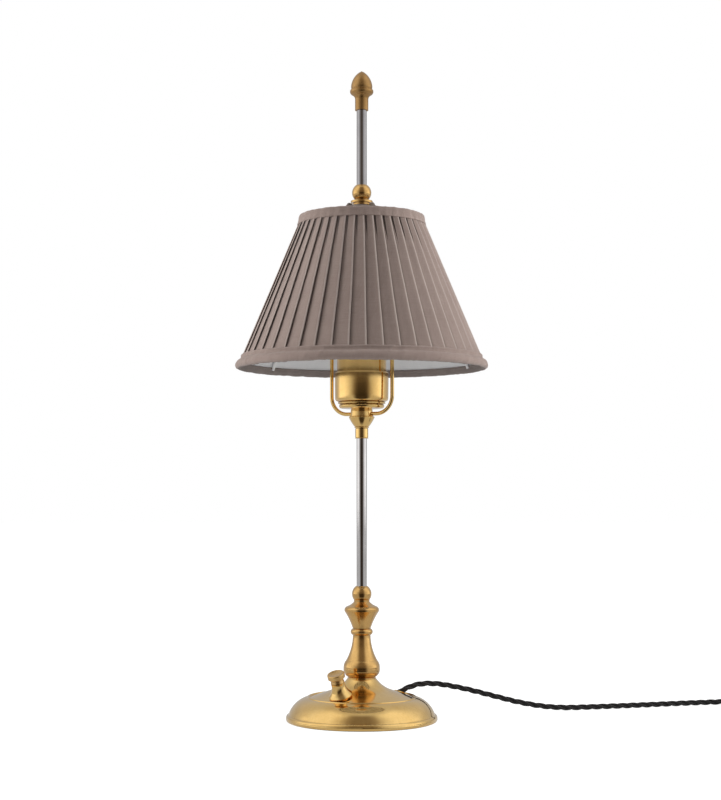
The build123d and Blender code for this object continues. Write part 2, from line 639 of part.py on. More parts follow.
def switch_nut():
    return SWITCH_PLANE * tube(SWITCH_NUT_RADIUS, SWITCH_BUSH_RADIUS + FIT, SWITCH_NUT_GAP, NUT_TOP)


def switch_bell():
    """A hollow concave bell that stands on the lock nut's edge, closed at the top but for the spindle."""
    def form(inset):
        return outline(
            (0, BELL_BOTTOM), (BELL_RADIUS - inset, BELL_BOTTOM), (BELL_RADIUS - inset, BELL_BOTTOM + BELL_LIP),
            (BELL_TOP_RADIUS - inset, BELL_TOP - inset, -0.12), (0, BELL_TOP - inset),
        )
    bell = spin(form(0) - form(BELL_WALL))
    floor = tube(SWITCH_NUT_RADIUS, SWITCH_BUSH_RADIUS + FIT, BELL_BOTTOM, BELL_BOTTOM + BELL_WALL)
    web = tube(BELL_RADIUS - BELL_WALL, SWITCH_NUT_RADIUS - 0.2, BELL_BOTTOM, BELL_BOTTOM + BELL_WALL)
    return SWITCH_PLANE * (bell + floor + web - rod(SPINDLE_RADIUS + FIT, BELL_BOTTOM + BELL_WALL, BELL_TOP))


def switch_knob():
    disc_bottom = KNOB_HEIGHT - KNOB_DISC
    knob = spin(outline(
        (0, 0), (KNOB_SKIRT_RADIUS, 0), (KNOB_SKIRT_RADIUS - 0.4, 1.0), (KNOB_NECK_RADIUS, KNOB_NECK_HEIGHT, -0.1),
        (KNOB_RADIUS - KNOB_ROUND, disc_bottom, -0.1), (KNOB_RADIUS, disc_bottom + KNOB_ROUND, QUARTER),
        (KNOB_RADIUS, KNOB_HEIGHT - KNOB_ROUND), (KNOB_RADIUS - KNOB_ROUND, KNOB_HEIGHT, QUARTER),
        (KNOB_DISH_RADIUS, KNOB_HEIGHT), (0, KNOB_HEIGHT - KNOB_DISH, -level(KNOB_DISH_RADIUS, KNOB_DISH)),
    ))
    return SWITCH_PLANE * Pos(0, 0, KNOB_BOTTOM) * (knob - rod(SPINDLE_RADIUS + FIT, 0, SPINDLE_IN_KNOB))


def switch_spindle():
    return SWITCH_PLANE * rod(SPINDLE_RADIUS, BODY_TOP - SPINDLE_IN_BODY + 0.3, KNOB_BOTTOM + SPINDLE_IN_KNOB)


# ---------------------------------------------------------------- cord, bush and grip
CORD_START = Vector(*CORD_ROUTE[0])
CORD_WAY = (Vector(*CORD_ROUTE[1]) - CORD_START).normalized()
CORD_HEADING = Vector(CORD_WAY.X, CORD_WAY.Y, 0).normalized()
CORD_PLANE = Plane(  # its x axis is level and its z axis runs out along the cord
    origin=CORD_START, x_dir=(-CORD_HEADING.Y, CORD_HEADING.X, 0), z_dir=CORD_WAY)
CORD_RADIUS = CORD_DIAMETER / 2
CORD_BEND = 0.45  # share of the shorter run that a bend takes
LEAN = radians(SLOPE_ANGLE)
SLOPE_NORMAL = CORD_HEADING * sin(LEAN) + Vector(0, 0, cos(LEAN))


def bend_radii(points):
    """For each inner point of a cord's route, the largest arc that its two runs allow."""
    radii = []
    for a, b, c in zip(points, points[1:], points[2:]):
        before = Vector(*b) - Vector(*a)
        after = Vector(*c) - Vector(*b)
        half_turn = radians(before.get_angle(after)) / 2
        radii.append(CORD_BEND * min(before.length, after.length) / tan(half_turn))
    return radii


def laid_cord(name, points):
    radii = bend_radii(points)
    solid = wire(points, CORD_DIAMETER, radii)
    path = FilletPolyline(*points, radius=radii)
    section = Circle(CORD_RADIUS).area
    print(name, "length", round(path.length, 1), "radii", [round(r, 1) for r in radii],
          "volume over section times length", round(solid.volume / (section * path.length), 5))
    return solid


def cord_bush():
    """A sleeve along the cord, cut off level with the slope just above it."""
    reach = 2 * STEP_RADIUS
    sleeve = CORD_PLANE * tube(BUSH_RADIUS, CORD_RADIUS + BUSH_CLEARANCE, 0, reach)
    on_slope = CORD_HEADING * STEP_RADIUS + Vector(0, 0, slope_height(STEP_RADIUS))
    cut = Plane(origin=on_slope + SLOPE_NORMAL * BUSH_LIP, z_dir=SLOPE_NORMAL)
    return sleeve - cut * rod(2 * reach, 0, reach)


def cord_grip():
    return CORD_PLANE * rod(GRIP_RADIUS, -GRIP_LENGTH, 0)


def cord_coil():
    x, y = COIL_CENTRE
    ring = tube(COIL_RADIUS + CORD_RADIUS, COIL_INNER_RADIUS - CORD_RADIUS, 0, 2 * CORD_DIAMETER)
    return Pos(x, y, 0) * ring


# ---------------------------------------------------------------- plug, lying on its round front
PLUG_REAR = Vector(*TAIL_ROUTE[-1])
PLUG_WAY = (PLUG_REAR - Vector(*TAIL_ROUTE[-2])).normalized()
PLUG_PLANE = Plane(origin=PLUG_REAR, x_dir=(-PLUG_WAY.Y, PLUG_WAY.X, 0), z_dir=PLUG_WAY)


def pin_places():
    return [Pos(side * PIN_HALF_SPACING, 0, 0) for side in (-1, 1)]


def plug_body():
    body = spin(outline(
        (0, 0), (PLUG_GUARD_RADIUS, 0), (PLUG_NECK_RADIUS, PLUG_NECK_LENGTH, -0.06),
        (PLUG_GRIP_RADIUS, PLUG_GRIP_LENGTH - 1.5, -0.15), (PLUG_RADIUS, PLUG_GRIP_LENGTH, 0.1),
        (PLUG_RADIUS, PLUG_LENGTH - PLUG_ROUND), (PLUG_RADIUS - PLUG_ROUND, PLUG_LENGTH, QUARTER),
        (0, PLUG_LENGTH),
    ))
    for place in pin_places():
        body -= place * rod(PIN_RADIUS + FIT, PLUG_LENGTH - PIN_ROOT, PLUG_LENGTH)
    return PLUG_PLANE * body


def plug_pins():
    pin = spin(outline(
        (0, -PIN_ROOT), (PIN_RADIUS, -PIN_ROOT), (PIN_RADIUS, PIN_LENGTH - PIN_RADIUS),
        (0, PIN_LENGTH, QUARTER),
    ))
    return PLUG_PLANE * Compound([Pos(0, 0, PLUG_LENGTH) * place * pin for place in pin_places()])


# ---------------------------------------------------------------- inner leads
def grip_port(across, up):
    """Where a core leaves the grip's rear face, and a point further back along it."""
    return [(CORD_PLANE * Pos(across, up, -GRIP_LENGTH - back)).position for back in (0, 7)]


def switch_port(across):
    """Where a core meets the switch body's inner side, and a point further up the slope."""
    height = BODY_BOTTOM + SWITCH_BODY_DEPTH / 2
    side = SWITCH_BODY_SIDE / 2
    return [(SWITCH_PLANE * Pos(side + out, across, height)).position for out in (0, 5)]


def stem_run(side, turn_height):
    """Up the stem on one side of its axis, then out to the insert's underside."""
    x = side * CORE_IN_STEM
    out = HOLDER_NIPPLE_TOP + 3.0
    return [
        Vector(x, 0, turn_height), Vector(x, 0, out), Vector(side * CORE_SPREAD, 0, out),
        Vector(side * CORE_SPREAD, 0, CUP_FLOOR + INSERT_SKIRT_HEIGHT),
    ]


def lead_neutral():
    points = grip_port(CORE_OFFSET, 0) + stem_run(1, NEUTRAL_TURN)
    return wire(points, CORE_DIAMETER, [3.0, 4.0, 1.5, 1.5])


def lead_live():
    (rear, behind), (entry, before) = grip_port(-CORE_OFFSET, 0), switch_port(3.5)
    points = [rear, behind, Vector(*LIVE_MIDDLE), before, entry]
    return wire(points, CORE_DIAMETER, [3.0, 3.0, 2.0])


def lead_switched():
    entry, before = switch_port(-3.5)
    points = [entry, before] + stem_run(-1, SWITCHED_TURN)
    return wire(points, CORE_DIAMETER, [2.0, 2.0, 1.5, 1.5])


def lead_earth():
    rear, behind = grip_port(0, CORE_OFFSET)
    foot = Vector(*EARTH_LUG, EARTH_TURN)
    return wire([rear, behind, foot, Vector(*EARTH_LUG, WASHER_BOTTOM)], CORE_DIAMETER, [3.0, 3.0])


# ---------------------------------------------------------------- shade
def envelope(height):
    """Radius of the pleats' folds at a height."""
    return PLEAT_TOP_RADIUS + SHADE_SLOPE * (BAND_BOTTOM - height)


def lining_outer(height):
    return envelope(height) - PLEAT_DEPTH - PLEAT_CLOTH


def lining_inner(height):
    return lining_outer(height) - LINING


def strut_middle(height):
    lean = hypot(1, SHADE_SLOPE)
    return lining_inner(height) - FIT - STRUT_WIRE / 2 * lean


def ring_radius(height):
    """The rings lie round the struts and touch their outer side."""
    return strut_middle(height) + (STRUT_WIRE + RING_WIRE) / 2 * hypot(1, SHADE_SLOPE)


LINING_BOTTOM = BOTTOM_RING_HEIGHT + RING_WIRE / 2
LINING_TOP = TOP_RING_HEIGHT - RING_WIRE / 2


def ring_section(height):
    return Pos(ring_radius(height), height) * Circle(RING_WIRE / 2)


def shade_ring(height):
    return spin(ring_section(height))


def strut(diameter):
    low, high = BOTTOM_RING_HEIGHT, TOP_RING_HEIGHT
    return wire([(strut_middle(low), 0, low), (strut_middle(high), 0, high)], diameter, [])


def struts(diameter):
    return around(STRUT_COUNT, strut(diameter), SPIDER_AZIMUTH)


def lining():
    low, high = LINING_BOTTOM, LINING_TOP
    return spin(outline(
        (lining_inner(low), low), (lining_outer(low), low), (lining_outer(high), high),
        (lining_inner(high), high),
    ))


def pleat_section(height):
    """A saw tooth for each knife pleat: the cloth climbs to a fold and steps back into a pocket."""
    fold = envelope(height)
    pocket = fold - PLEAT_DEPTH
    points = []
    for k in range(PLEAT_COUNT):
        turn = 360 / PLEAT_COUNT * k
        for radius, angle in ((fold, radians(turn)), (pocket, radians(turn + PLEAT_STEP))):
            points.append((radius * cos(angle), radius * sin(angle)))
    return Pos(0, 0, height) * make_face(Polyline(*points, close=True))


def pleats():
    low, high = TRIM_TOP, BAND_BOTTOM
    cloth = loft([pleat_section(low), pleat_section(high)], ruled=True)
    core = outline(
        (0, low), (lining_outer(low) + PLEAT_GAP, low), (lining_outer(high) + PLEAT_GAP, high), (0, high))
    return cloth - spin(core)


def strut_notches():
    return struts(STRUT_WIRE + 2 * LOOSE)


def top_band():
    """Self fabric wrapped over the top ring: it lies on the pleats outside and hides the ring inside."""
    top, low, foot = SHADE_TOP, BAND_BOTTOM, LINING_TOP
    outer = envelope(low) + BAND_OUT
    crown = outer - BAND_LEAN
    inner = lining_inner(top) - BAND_INNER
    hem = low + BAND_HEM
    form = outline(
        (lining_outer(low), low), (outer, low), (outer - 1.0, low + 3.5, -0.05), (crown, top - BAND_ROUND),
        (crown - BAND_ROUND, top, QUARTER), (inner + BAND_ROUND, top), (inner, top - BAND_ROUND, QUARTER),
        (inner, hem), (lining_inner(hem), hem), (lining_inner(foot), foot), (lining_outer(foot), foot),
    )
    ring_slot = Pos(ring_radius(TOP_RING_HEIGHT), foot + RING_WIRE / 4) * Rectangle(RING_WIRE, RING_WIRE / 2)
    arm_notch = wire(spider_route()[:2], SPIDER_WIRE + 2 * LOOSE, [])
    notches = strut_notches() + around(SPIDER_ARMS, arm_notch, SPIDER_AZIMUTH)
    return spin(form - ring_slot - ring_section(TOP_RING_HEIGHT)) - notches


def bottom_trim():
    """A rolled and flared self-fabric edge, turned up inside over the bottom ring and the lining."""
    top, low, foot = TRIM_TOP, SHADE_BOTTOM, LINING_BOTTOM
    edge = envelope(top) + TRIM_OUT
    flared = edge + TRIM_FLARE
    turned = low + TRIM_INNER_HEIGHT
    inner = lining_inner(turned) - TRIM_INNER
    lip, lip_height = inner + 1.0, low + 2.0
    lowest = flared - TRIM_ROLL
    form = outline(
        (lining_outer(foot), foot), (lining_inner(foot), foot), (lining_inner(turned), turned),
        (inner, turned), (lip, lip_height, -0.05), (lowest, low, level(lowest - lip, lip_height - low)),
        (flared, low + TRIM_ROLL, QUARTER), (flared - 1.0, low + TRIM_SHOULDER, 0.1), (edge, top, -0.04),
        (lining_outer(top), top),
    )
    return spin(form - ring_section(BOTTOM_RING_HEIGHT)) - strut_notches()


def spider_route():
    """An arm from its strut in to the hub: up to the elbow, over the hump and down on to the washer."""
    hub = SPIDER_BOTTOM
    return [
        (strut_middle(TOP_RING_HEIGHT), 0, TOP_RING_HEIGHT),
        (SPIDER_ELBOW_RADIUS, 0, TOP_RING_HEIGHT + SPIDER_ELBOW_RISE),
        (SPIDER_HUMP_RADIUS + 2.0, 0, hub - 0.5), (SPIDER_HUMP_RADIUS, 0, hub + SPIDER_HUMP_RISE),
        (SPIDER_FOOT_RADIUS, 0, hub + SPIDER_FOOT_RISE),
    ]


def spider_arm():
    """A wire arm, fish-mouthed onto its strut and onto the edge of the washer."""
    arm = wire(spider_route(), SPIDER_WIRE, SPIDER_BENDS) - strut(STRUT_WIRE)
    return arm - rod(SPIDER_HUB_RADIUS, TOP_HUB_BOTTOM, ROD_BOTTOM)


def spider_washer():
    """The washer that the ball nut clamps."""
    return tube(SPIDER_HUB_RADIUS, STUD_RADIUS + LOOSE, SPIDER_BOTTOM, SPIDER_TOP)


# ---------------------------------------------------------------- top stem
def ball_nut():
    flange_top = SKIRT_HEIGHT + FLANGE_HEIGHT
    neck = spin(outline(
        (0, 0), (SKIRT_RADIUS - 0.4, 0), (SKIRT_RADIUS, 0.4), (SKIRT_RADIUS, SKIRT_HEIGHT),
        (FLANGE_RADIUS, SKIRT_HEIGHT), (FLANGE_RADIUS, flange_top - 0.3), (FLANGE_RADIUS - 0.3, flange_top),
        (NUT_NECK_RADIUS, NUT_NECK_HEIGHT, -0.15), (NUT_NECK_RADIUS, TOP_BALL_HEIGHT), (0, TOP_BALL_HEIGHT),
    ))
    top = TOP_BALL_HEIGHT + (BALL_RADIUS**2 - (TUBE_RADIUS + 0.6) ** 2) ** 0.5
    nut = neck + ball_between(TOP_BALL_HEIGHT, NUT_NECK_HEIGHT - 0.8, top)
    stud_reach = STUD_TOP - STEM_BOTTOM
    nut = nut - rod(STUD_RADIUS + FIT, 0, stud_reach + LOOSE) - rod(TUBE_RADIUS + FIT, ROD_SEAT, top)
    return Pos(0, 0, STEM_BOTTOM) * nut


def finial_cup():
    rim = FINIAL_CUP_HEIGHT
    cup = spin(outline(
        (0, 0), (FINIAL_NECK_RADIUS, 0), (FINIAL_NECK_RADIUS, FINIAL_NECK),
        (FINIAL_WAIST_RADIUS, FINIAL_WAIST, -0.12), (FINIAL_CUP_RADIUS, FINIAL_LIP, 0.1),
        (FINIAL_CUP_RADIUS, rim - 0.4), (FINIAL_CUP_RADIUS - 0.4, rim, QUARTER), (0, rim),
    ))
    cup -= rod(TUBE_RADIUS + FIT, 0, FINIAL_GRIP)
    return Pos(0, 0, FINIAL_BOTTOM) * (cup - rod(ACORN_STUD_RADIUS + FIT, rim - ACORN_STUD_LENGTH, rim))


def finial_acorn():
    """A pointed acorn: a foot ring, a steep side, an ogive and a small nub."""
    acorn = spin(outline(
        (0, -ACORN_STUD_LENGTH), (ACORN_STUD_RADIUS, -ACORN_STUD_LENGTH), (ACORN_STUD_RADIUS, 0),
        (ACORN_FOOT_RADIUS, 0), (ACORN_FOOT_RADIUS, ACORN_FOOT, 0.3), (ACORN_RADIUS, ACORN_SHOULDER, 0.05),
        (ACORN_TIP_RADIUS, ACORN_HEIGHT - ACORN_TIP, 0.111), (ACORN_NUB_RADIUS, ACORN_HEIGHT - ACORN_NUB, -0.1),
        (0, ACORN_HEIGHT, level(ACORN_NUB_RADIUS, ACORN_NUB)),
    ))
    return Pos(0, 0, ACORN_BOTTOM) * acorn


# ---------------------------------------------------------------- all nodes
def nodes():
    yield "base_shell", base_shell()
    yield "base_felt", base_felt()
    yield "base_weight", base_weight()
    yield "base_nipple", tube(NIPPLE_RADIUS, NIPPLE_BORE, WASHER_BOTTOM - BASE_NIPPLE_TAIL, BALL_FOOT + NIPPLE_SEAT)
    yield "base_washer", tube(WASHER_RADIUS, NIPPLE_RADIUS + FIT, WASHER_BOTTOM, WASHER_TOP)
    yield "base_nut", hex_nut(NUT_FLATS, NIPPLE_RADIUS + FIT, NUT_BOTTOM, WASHER_BOTTOM)
    yield "baluster", baluster()
    yield "lower_ball", lower_ball()
    yield "lower_tube", tube(TUBE_RADIUS, TUBE_RADIUS - TUBE_WALL, TUBE_BOTTOM, TUBE_TOP)
    yield "neck_sleeve", neck_sleeve()
    yield "harp_hub", harp_hub()
    yield "harp_arm_right", harp_arm(HARP_TURN)
    yield "harp_arm_left", harp_arm(HARP_TURN + 180)
    yield "harp_top_hub", harp_top_hub()
    yield "shade_stud", rod(STUD_RADIUS, STUD_BOTTOM, STUD_TOP)
    yield "holder_nipple", tube(NIPPLE_RADIUS, NIPPLE_BORE, HOLDER_NIPPLE_BOTTOM, HOLDER_NIPPLE_TOP)
    yield "holder_nut", hex_nut(NUT_FLATS, NIPPLE_RADIUS + FIT, CUP_FLOOR, CUP_FLOOR + HOLDER_NUT_HEIGHT)
    yield "holder_cup", holder_cup()
    yield "holder_shell", holder_shell()
    yield "holder_insert", holder_insert()
    yield "screw_shell", screw_shell()
    yield "centre_contact", centre_contact()
    yield "terminal_screws", Compound(at_terminals(terminal_screw()))
    yield "switch_body", switch_body()
    yield "switch_bush", switch_bush()
    yield "switch_nut", switch_nut()
    yield "switch_bell", switch_bell()
    yield "switch_knob", switch_knob()
    yield "switch_spindle", switch_spindle()
    yield "cord_bush", cord_bush()
    yield "cord_grip", cord_grip()
    yield "lead_neutral", lead_neutral()
    yield "lead_live", lead_live()
    yield "lead_switched", lead_switched()
    yield "lead_earth", lead_earth()
    yield "cord", laid_cord("cord", CORD_ROUTE)
    yield "cord_coil", cord_coil()
    yield "cord_tail", laid_cord("cord_tail", TAIL_ROUTE)
    yield "plug_body", plug_body()
    yield "plug_pins", plug_pins()
    yield "bulb_glass", bulb_glass()
    yield "bulb_cap", bulb_cap()
    yield "bulb_contact", bulb_contact()
    yield "shade_spider", Compound(around(SPIDER_ARMS, spider_arm(), SPIDER_AZIMUTH))
    yield "shade_washer", spider_washer()
    yield "shade_top_ring", shade_ring(TOP_RING_HEIGHT)
    yield "shade_bottom_ring", shade_ring(BOTTOM_RING_HEIGHT)
    yield "shade_struts", Compound(struts(STRUT_WIRE))
    yield "shade_lining", lining()
    yield "shade_pleats", pleats()
    yield "shade_top_band", top_band()
    yield "shade_bottom_trim", bottom_trim()
    yield "ball_nut", ball_nut()
    yield "upper_rod", tube(TUBE_RADIUS, TUBE_RADIUS - TUBE_WALL, ROD_BOTTOM, ROD_TOP)
    yield "finial_cup", finial_cup()
    yield "finial_acorn", finial_acorn()


os.makedirs("parts", exist_ok=True)
for name, solid in nodes():
    export_step(solid, f"parts/{name}.step")
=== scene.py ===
import math

import bmesh
import bpy
import numpy as np
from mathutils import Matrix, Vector, noise


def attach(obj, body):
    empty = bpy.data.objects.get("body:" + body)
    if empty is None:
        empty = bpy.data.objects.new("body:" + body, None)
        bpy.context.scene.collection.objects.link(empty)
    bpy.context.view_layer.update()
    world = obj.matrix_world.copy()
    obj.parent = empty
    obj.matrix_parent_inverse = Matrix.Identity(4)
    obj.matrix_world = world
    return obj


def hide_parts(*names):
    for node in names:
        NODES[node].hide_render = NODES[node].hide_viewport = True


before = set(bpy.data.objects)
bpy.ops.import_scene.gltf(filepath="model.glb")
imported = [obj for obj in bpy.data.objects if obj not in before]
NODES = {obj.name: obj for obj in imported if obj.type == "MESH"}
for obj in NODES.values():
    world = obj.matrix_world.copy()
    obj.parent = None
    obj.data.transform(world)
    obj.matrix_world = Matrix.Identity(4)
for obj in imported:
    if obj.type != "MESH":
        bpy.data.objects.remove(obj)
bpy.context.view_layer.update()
MM = 0.001
TAU = 2 * math.pi

# ---------------------------------------------------------------- camera
CAMERA_PLACE = (-0.0011, -1.470, 0.206)
CAMERA_PITCH = 3.22  # degrees above level
CAMERA_SENSOR = 36  # mm
CAMERA_LENS = 72.95  # mm
CAMERA_REACH = 60  # metres

camera_data = bpy.data.cameras.new("camera")
camera_data.sensor_width = CAMERA_SENSOR
camera_data.lens = CAMERA_LENS
camera_data.clip_end = CAMERA_REACH
camera = bpy.data.objects.new("camera", camera_data)
camera.location = CAMERA_PLACE
camera.rotation_euler = (math.radians(90 + CAMERA_PITCH), 0, 0)
bpy.context.scene.collection.objects.link(camera)
bpy.context.scene.camera = camera
bpy.context.scene.view_settings.view_transform = "Standard"


# ---------------------------------------------------------------- mesh helpers
def grid_object(name, points, uv, wrap=True):
    """A smooth object from points[row, column]; its columns close into a ring if wrap."""
    rows, columns = points.shape[:2]
    across = columns if wrap else columns - 1
    r, c = np.meshgrid(np.arange(rows - 1), np.arange(across), indexing="ij")
    following = (c + 1) % columns
    corners = np.stack([r * columns + c, r * columns + following, (r + 1) * columns + following,
                        (r + 1) * columns + c], -1).reshape(-1, 4)
    mesh = bpy.data.meshes.new(name)
    mesh.from_pydata(points.reshape(-1, 3).tolist(), [], corners.tolist())
    along = np.stack([r, r, r + 1, r + 1], -1).reshape(-1)
    sideways = np.stack([c, c + 1, c + 1, c], -1).reshape(-1)
    layer = mesh.uv_layers.new(name="cloth")
    layer.data.foreach_set("uv", uv[along, sideways].astype(np.float32).ravel())
    mesh.shade_smooth()
    obj = bpy.data.objects.new(name, mesh)
    bpy.context.scene.collection.objects.link(obj)
    return obj


def smooth(x, low, high):
    """Smooth 0 to 1 as x goes from low to high."""
    t = np.clip((x - low) / (high - low), 0, 1)
    return t * t * (3 - 2 * t)


def wobble(a, b, seed=0.0):
    """Seeded smooth noise of two numbers, from about -1 to 1, for arrays."""
    a, b = np.broadcast_arrays(np.asarray(a, float), np.asarray(b, float))
    flat = [noise.noise((x, y, seed)) for x, y in zip(a.ravel(), b.ravel())]
    return np.array(flat).reshape(a.shape)


def ring_wobble(angle, b, turns, seed=0.0):
    """The same, but closing on itself round a ring; more turns make it change more often."""
    a, b = np.broadcast_arrays(np.asarray(angle, float), np.asarray(b, float))
    pairs = zip(a.ravel(), b.ravel())
    flat = [noise.noise((turns * math.cos(x), turns * math.sin(x), y + seed)) for x, y in pairs]
    return np.array(flat).reshape(a.shape)


# ---------------------------------------------------------------- material helpers
def add(tree, kind, inputs=None, **settings):
    """A shader node. Its inputs are sockets to link or constant values, its settings are properties."""
    node = tree.nodes.new("ShaderNode" + kind)
    for key, value in settings.items():
        setattr(node, key, value)
    for key, value in (inputs or {}).items():
        if isinstance(value, bpy.types.NodeSocket):
            tree.links.new(value, node.inputs[key])
        else:
            node.inputs[key].default_value = value
    return node


def start(name, **fixed):
    """A new material, its tree and its Principled shader with the fixed inputs set."""
    made = bpy.data.materials.new(name)
    made.use_nodes = True
    tree = made.node_tree
    shader = tree.nodes["Principled BSDF"]
    for key, value in fixed.items():
        shader.inputs[key.replace("_", " ")].default_value = value
    return made, tree, shader


def ramp(tree, value, stops):
    """A colour ramp; stops are (position, colour)."""
    node = add(tree, "ValToRGB", {"Fac": value})
    elements = node.color_ramp.elements
    while len(elements) < len(stops):
        elements.new(0.5)
    for element, (position, colour) in zip(elements, stops):
        element.position = position
        element.color = (*colour, 1)
    return node.outputs["Color"]


def span(tree, value, low, high):
    """A value of 0 to 1, spread from low to high."""
    return add(tree, "MapRange", {"Value": value, "To Min": low, "To Max": high}).outputs["Result"]


def math_node(tree, operation, a, b=0.0):
    """The result of one sum; an operation with a single input leaves b alone."""
    return add(tree, "Math", {0: a, 1: b}, operation=operation).outputs[0]


def step(tree, value, low, high):
    """Smooth 0 to 1 between two values."""
    node = add(tree, "MapRange", {"Value": value, "From Min": low, "From Max": high},
               interpolation_type="SMOOTHSTEP")
    return node.outputs["Result"]


def place(tree):
    """The point on the piece, in metres."""
    return add(tree, "TexCoord").outputs["Object"]


def speckle(tree, scale, detail=4.0, roughness=0.55, vector=None, distortion=0.0):
    """Noise of 0 to 1 at the point on the piece, or at another vector."""
    where = vector if vector is not None else place(tree)
    node = add(tree, "TexNoise", {"Vector": where, "Scale": scale, "Detail": detail, "Roughness": roughness,
                                  "Distortion": distortion})
    return node.outputs["Fac"]


def stretched(tree, factors, vector=None):
    """The point on the piece, or another vector, scaled along each axis."""
    where = vector if vector is not None else place(tree)
    return add(tree, "Mapping", {"Vector": where, "Scale": factors}).outputs["Vector"]


def bump(tree, shader, height, distance, strength=1.0, normal=None):
    """A relief on the shader, over another one's normal if that is given. It returns its own normal."""
    inputs = {"Height": height, "Distance": distance, "Strength": strength}
    if normal is not None:
        inputs["Normal"] = normal
    out = add(tree, "Bump", inputs).outputs["Normal"]
    tree.links.new(out, shader.inputs["Normal"])
    return out


def lathe_lines(tree, scale):
    """Noise that runs in rings round the lamp's axis, as a lathe or a polishing wheel leaves it."""
    axes = add(tree, "SeparateXYZ", {"Vector": place(tree)})
    flat = add(tree, "CombineXYZ", {"X": axes.outputs["X"], "Y": axes.outputs["Y"]})
    radius = add(tree, "VectorMath", {0: flat.outputs[0]}, operation="LENGTH").outputs["Value"]
    slant = math_node(tree, "ADD", radius, axes.outputs["Z"])
    rings = add(tree, "CombineXYZ", {"X": slant, "Y": 0.0, "Z": axes.outputs["Z"]}).outputs[0]
    return add(tree, "TexNoise", {"Vector": rings, "Scale": scale, "Detail": 3.0}).outputs["Fac"]


def crevices(tree, reach):
    """1 in the open, falling towards 0 deep in a groove or a corner."""
    return add(tree, "AmbientOcclusion", {"Distance": reach}, samples=6, only_local=True).outputs["AO"]


CREVICE_REACH = 0.004
PINPRICK_DEPTH = 0.000012
LATHE_DEPTH = 0.00002
LACQUER_ROUGHNESS = 0.08


def polished(name, light, deep, rough_low, rough_high, lathe=0.35, dent=0.25, coat=0.0, tarnish_and_shade=None):
    """Polished metal: two tones in soft clouds, fine wear in the gloss, ring marks and pin-prick dents."""
    made, tree, shader = start(name, Metallic=1.0, Coat_Weight=coat, Coat_Roughness=LACQUER_ROUGHNESS)
    clouds = speckle(tree, 38.0, 5.0, 0.6)
    spots = speckle(tree, 420.0, 3.0, 0.7)
    tone = add(tree, "Math", {0: spots, 1: 0.35, 2: clouds}, operation="MULTIPLY_ADD").outputs[0]
    shade = ramp(tree, tone, [(0.38, deep), (0.82, light)])
    # Painted shade: with a dark colour given, ambient occlusion darkens grooves, corners and joints towards
    # it, and random oxide flecks are mixed in.
    if tarnish_and_shade is not None:
        flecks = math_node(tree, "MULTIPLY", spots, 0.3)
        painted_light = math_node(tree, "ADD", crevices(tree, CREVICE_REACH), flecks)
        shade_and_tarnish = add(tree, "MapRange", {"Value": painted_light, "From Min": 1.02, "From Max": 0.66}).outputs["Result"]
        share = math_node(tree, "MULTIPLY", shade_and_tarnish, 0.75)
        shade = add(tree, "MixRGB", {"Fac": share, "Color1": shade, "Color2": (*tarnish_and_shade, 1)}).outputs[0]
    tree.links.new(shade, shader.inputs["Base Color"])
    smear = speckle(tree, 130.0, 6.0, 0.65, stretched(tree, (1.0, 1.0, 0.35)))
    tree.links.new(span(tree, smear, rough_low, rough_high), shader.inputs["Roughness"])
    first = bump(tree, shader, speckle(tree, 900.0, 2.0, 0.5), PINPRICK_DEPTH, dent)
    if lathe:
        bump(tree, shader, lathe_lines(tree, 750.0), LATHE_DEPTH, lathe, first)
    return made


BRASS_LIGHT = (0.90, 0.60, 0.215)
BRASS_DEEP = (0.78, 0.48, 0.14)
# The dark brown that brass grooves and corners are painted towards: painted shade, with some oxide.
BRASS_TARNISH_AND_SHADE = (0.20, 0.10, 0.025)
brass = polished("brass", BRASS_LIGHT, BRASS_DEEP, 0.06, 0.18, coat=0.6, tarnish_and_shade=BRASS_TARNISH_AND_SHADE)
brass_turned = polished("brass_turned", (0.76, 0.46, 0.15), (0.55, 0.30, 0.08), 0.10, 0.22, coat=0.6,
                        tarnish_and_shade=BRASS_TARNISH_AND_SHADE)
brass_plain = polished("brass_plain", BRASS_LIGHT, BRASS_DEEP, 0.08, 0.22, lathe=0, coat=0.6,
                       tarnish_and_shade=BRASS_TARNISH_AND_SHADE)
brass_satin = polished("brass_satin", (0.82, 0.52, 0.19), (0.64, 0.37, 0.12), 0.18, 0.32, lathe=0, coat=0.5,
                       tarnish_and_shade=BRASS_TARNISH_AND_SHADE)
brass_aged = polished("brass_aged", (0.54, 0.315, 0.115), (0.37, 0.20, 0.06), 0.34, 0.46, coat=0.25,
                      tarnish_and_shade=BRASS_TARNISH_AND_SHADE)
steel = polished("polished_steel", (0.66, 0.642, 0.638), (0.52, 0.503, 0.50), 0.05, 0.13, lathe=0.2,
                 dent=0.12)
steel_dull = polished("steel_dull", (0.43, 0.415, 0.42), (0.32, 0.31, 0.315), 0.06, 0.15, lathe=0.2,
                      dent=0.12)
zinc = polished("zinc_steel", (0.55, 0.54, 0.50), (0.38, 0.37, 0.34), 0.25, 0.45, lathe=0)
tin = polished("bulb_cap_metal", (0.72, 0.71, 0.68), (0.50, 0.49, 0.46), 0.22, 0.40, lathe=0)


def plain(name, light, deep, rough_low, rough_high, scale=180.0, dent=0.00005, **fixed):
    """A matt solid such as iron, plastic, ceramic or enamel: mottled colour, uneven gloss, fine texture."""
    made, tree, shader = start(name, **fixed)
    colour = ramp(tree, speckle(tree, scale, 5.0, 0.6), [(0.3, deep), (0.7, light)])
    tree.links.new(colour, shader.inputs["Base Color"])
    gloss = span(tree, speckle(tree, scale * 2.3, 4.0), rough_low, rough_high)
    tree.links.new(gloss, shader.inputs["Roughness"])
    bump(tree, shader, speckle(tree, scale * 6, 4.0, 0.6), dent, 0.6)
    return made


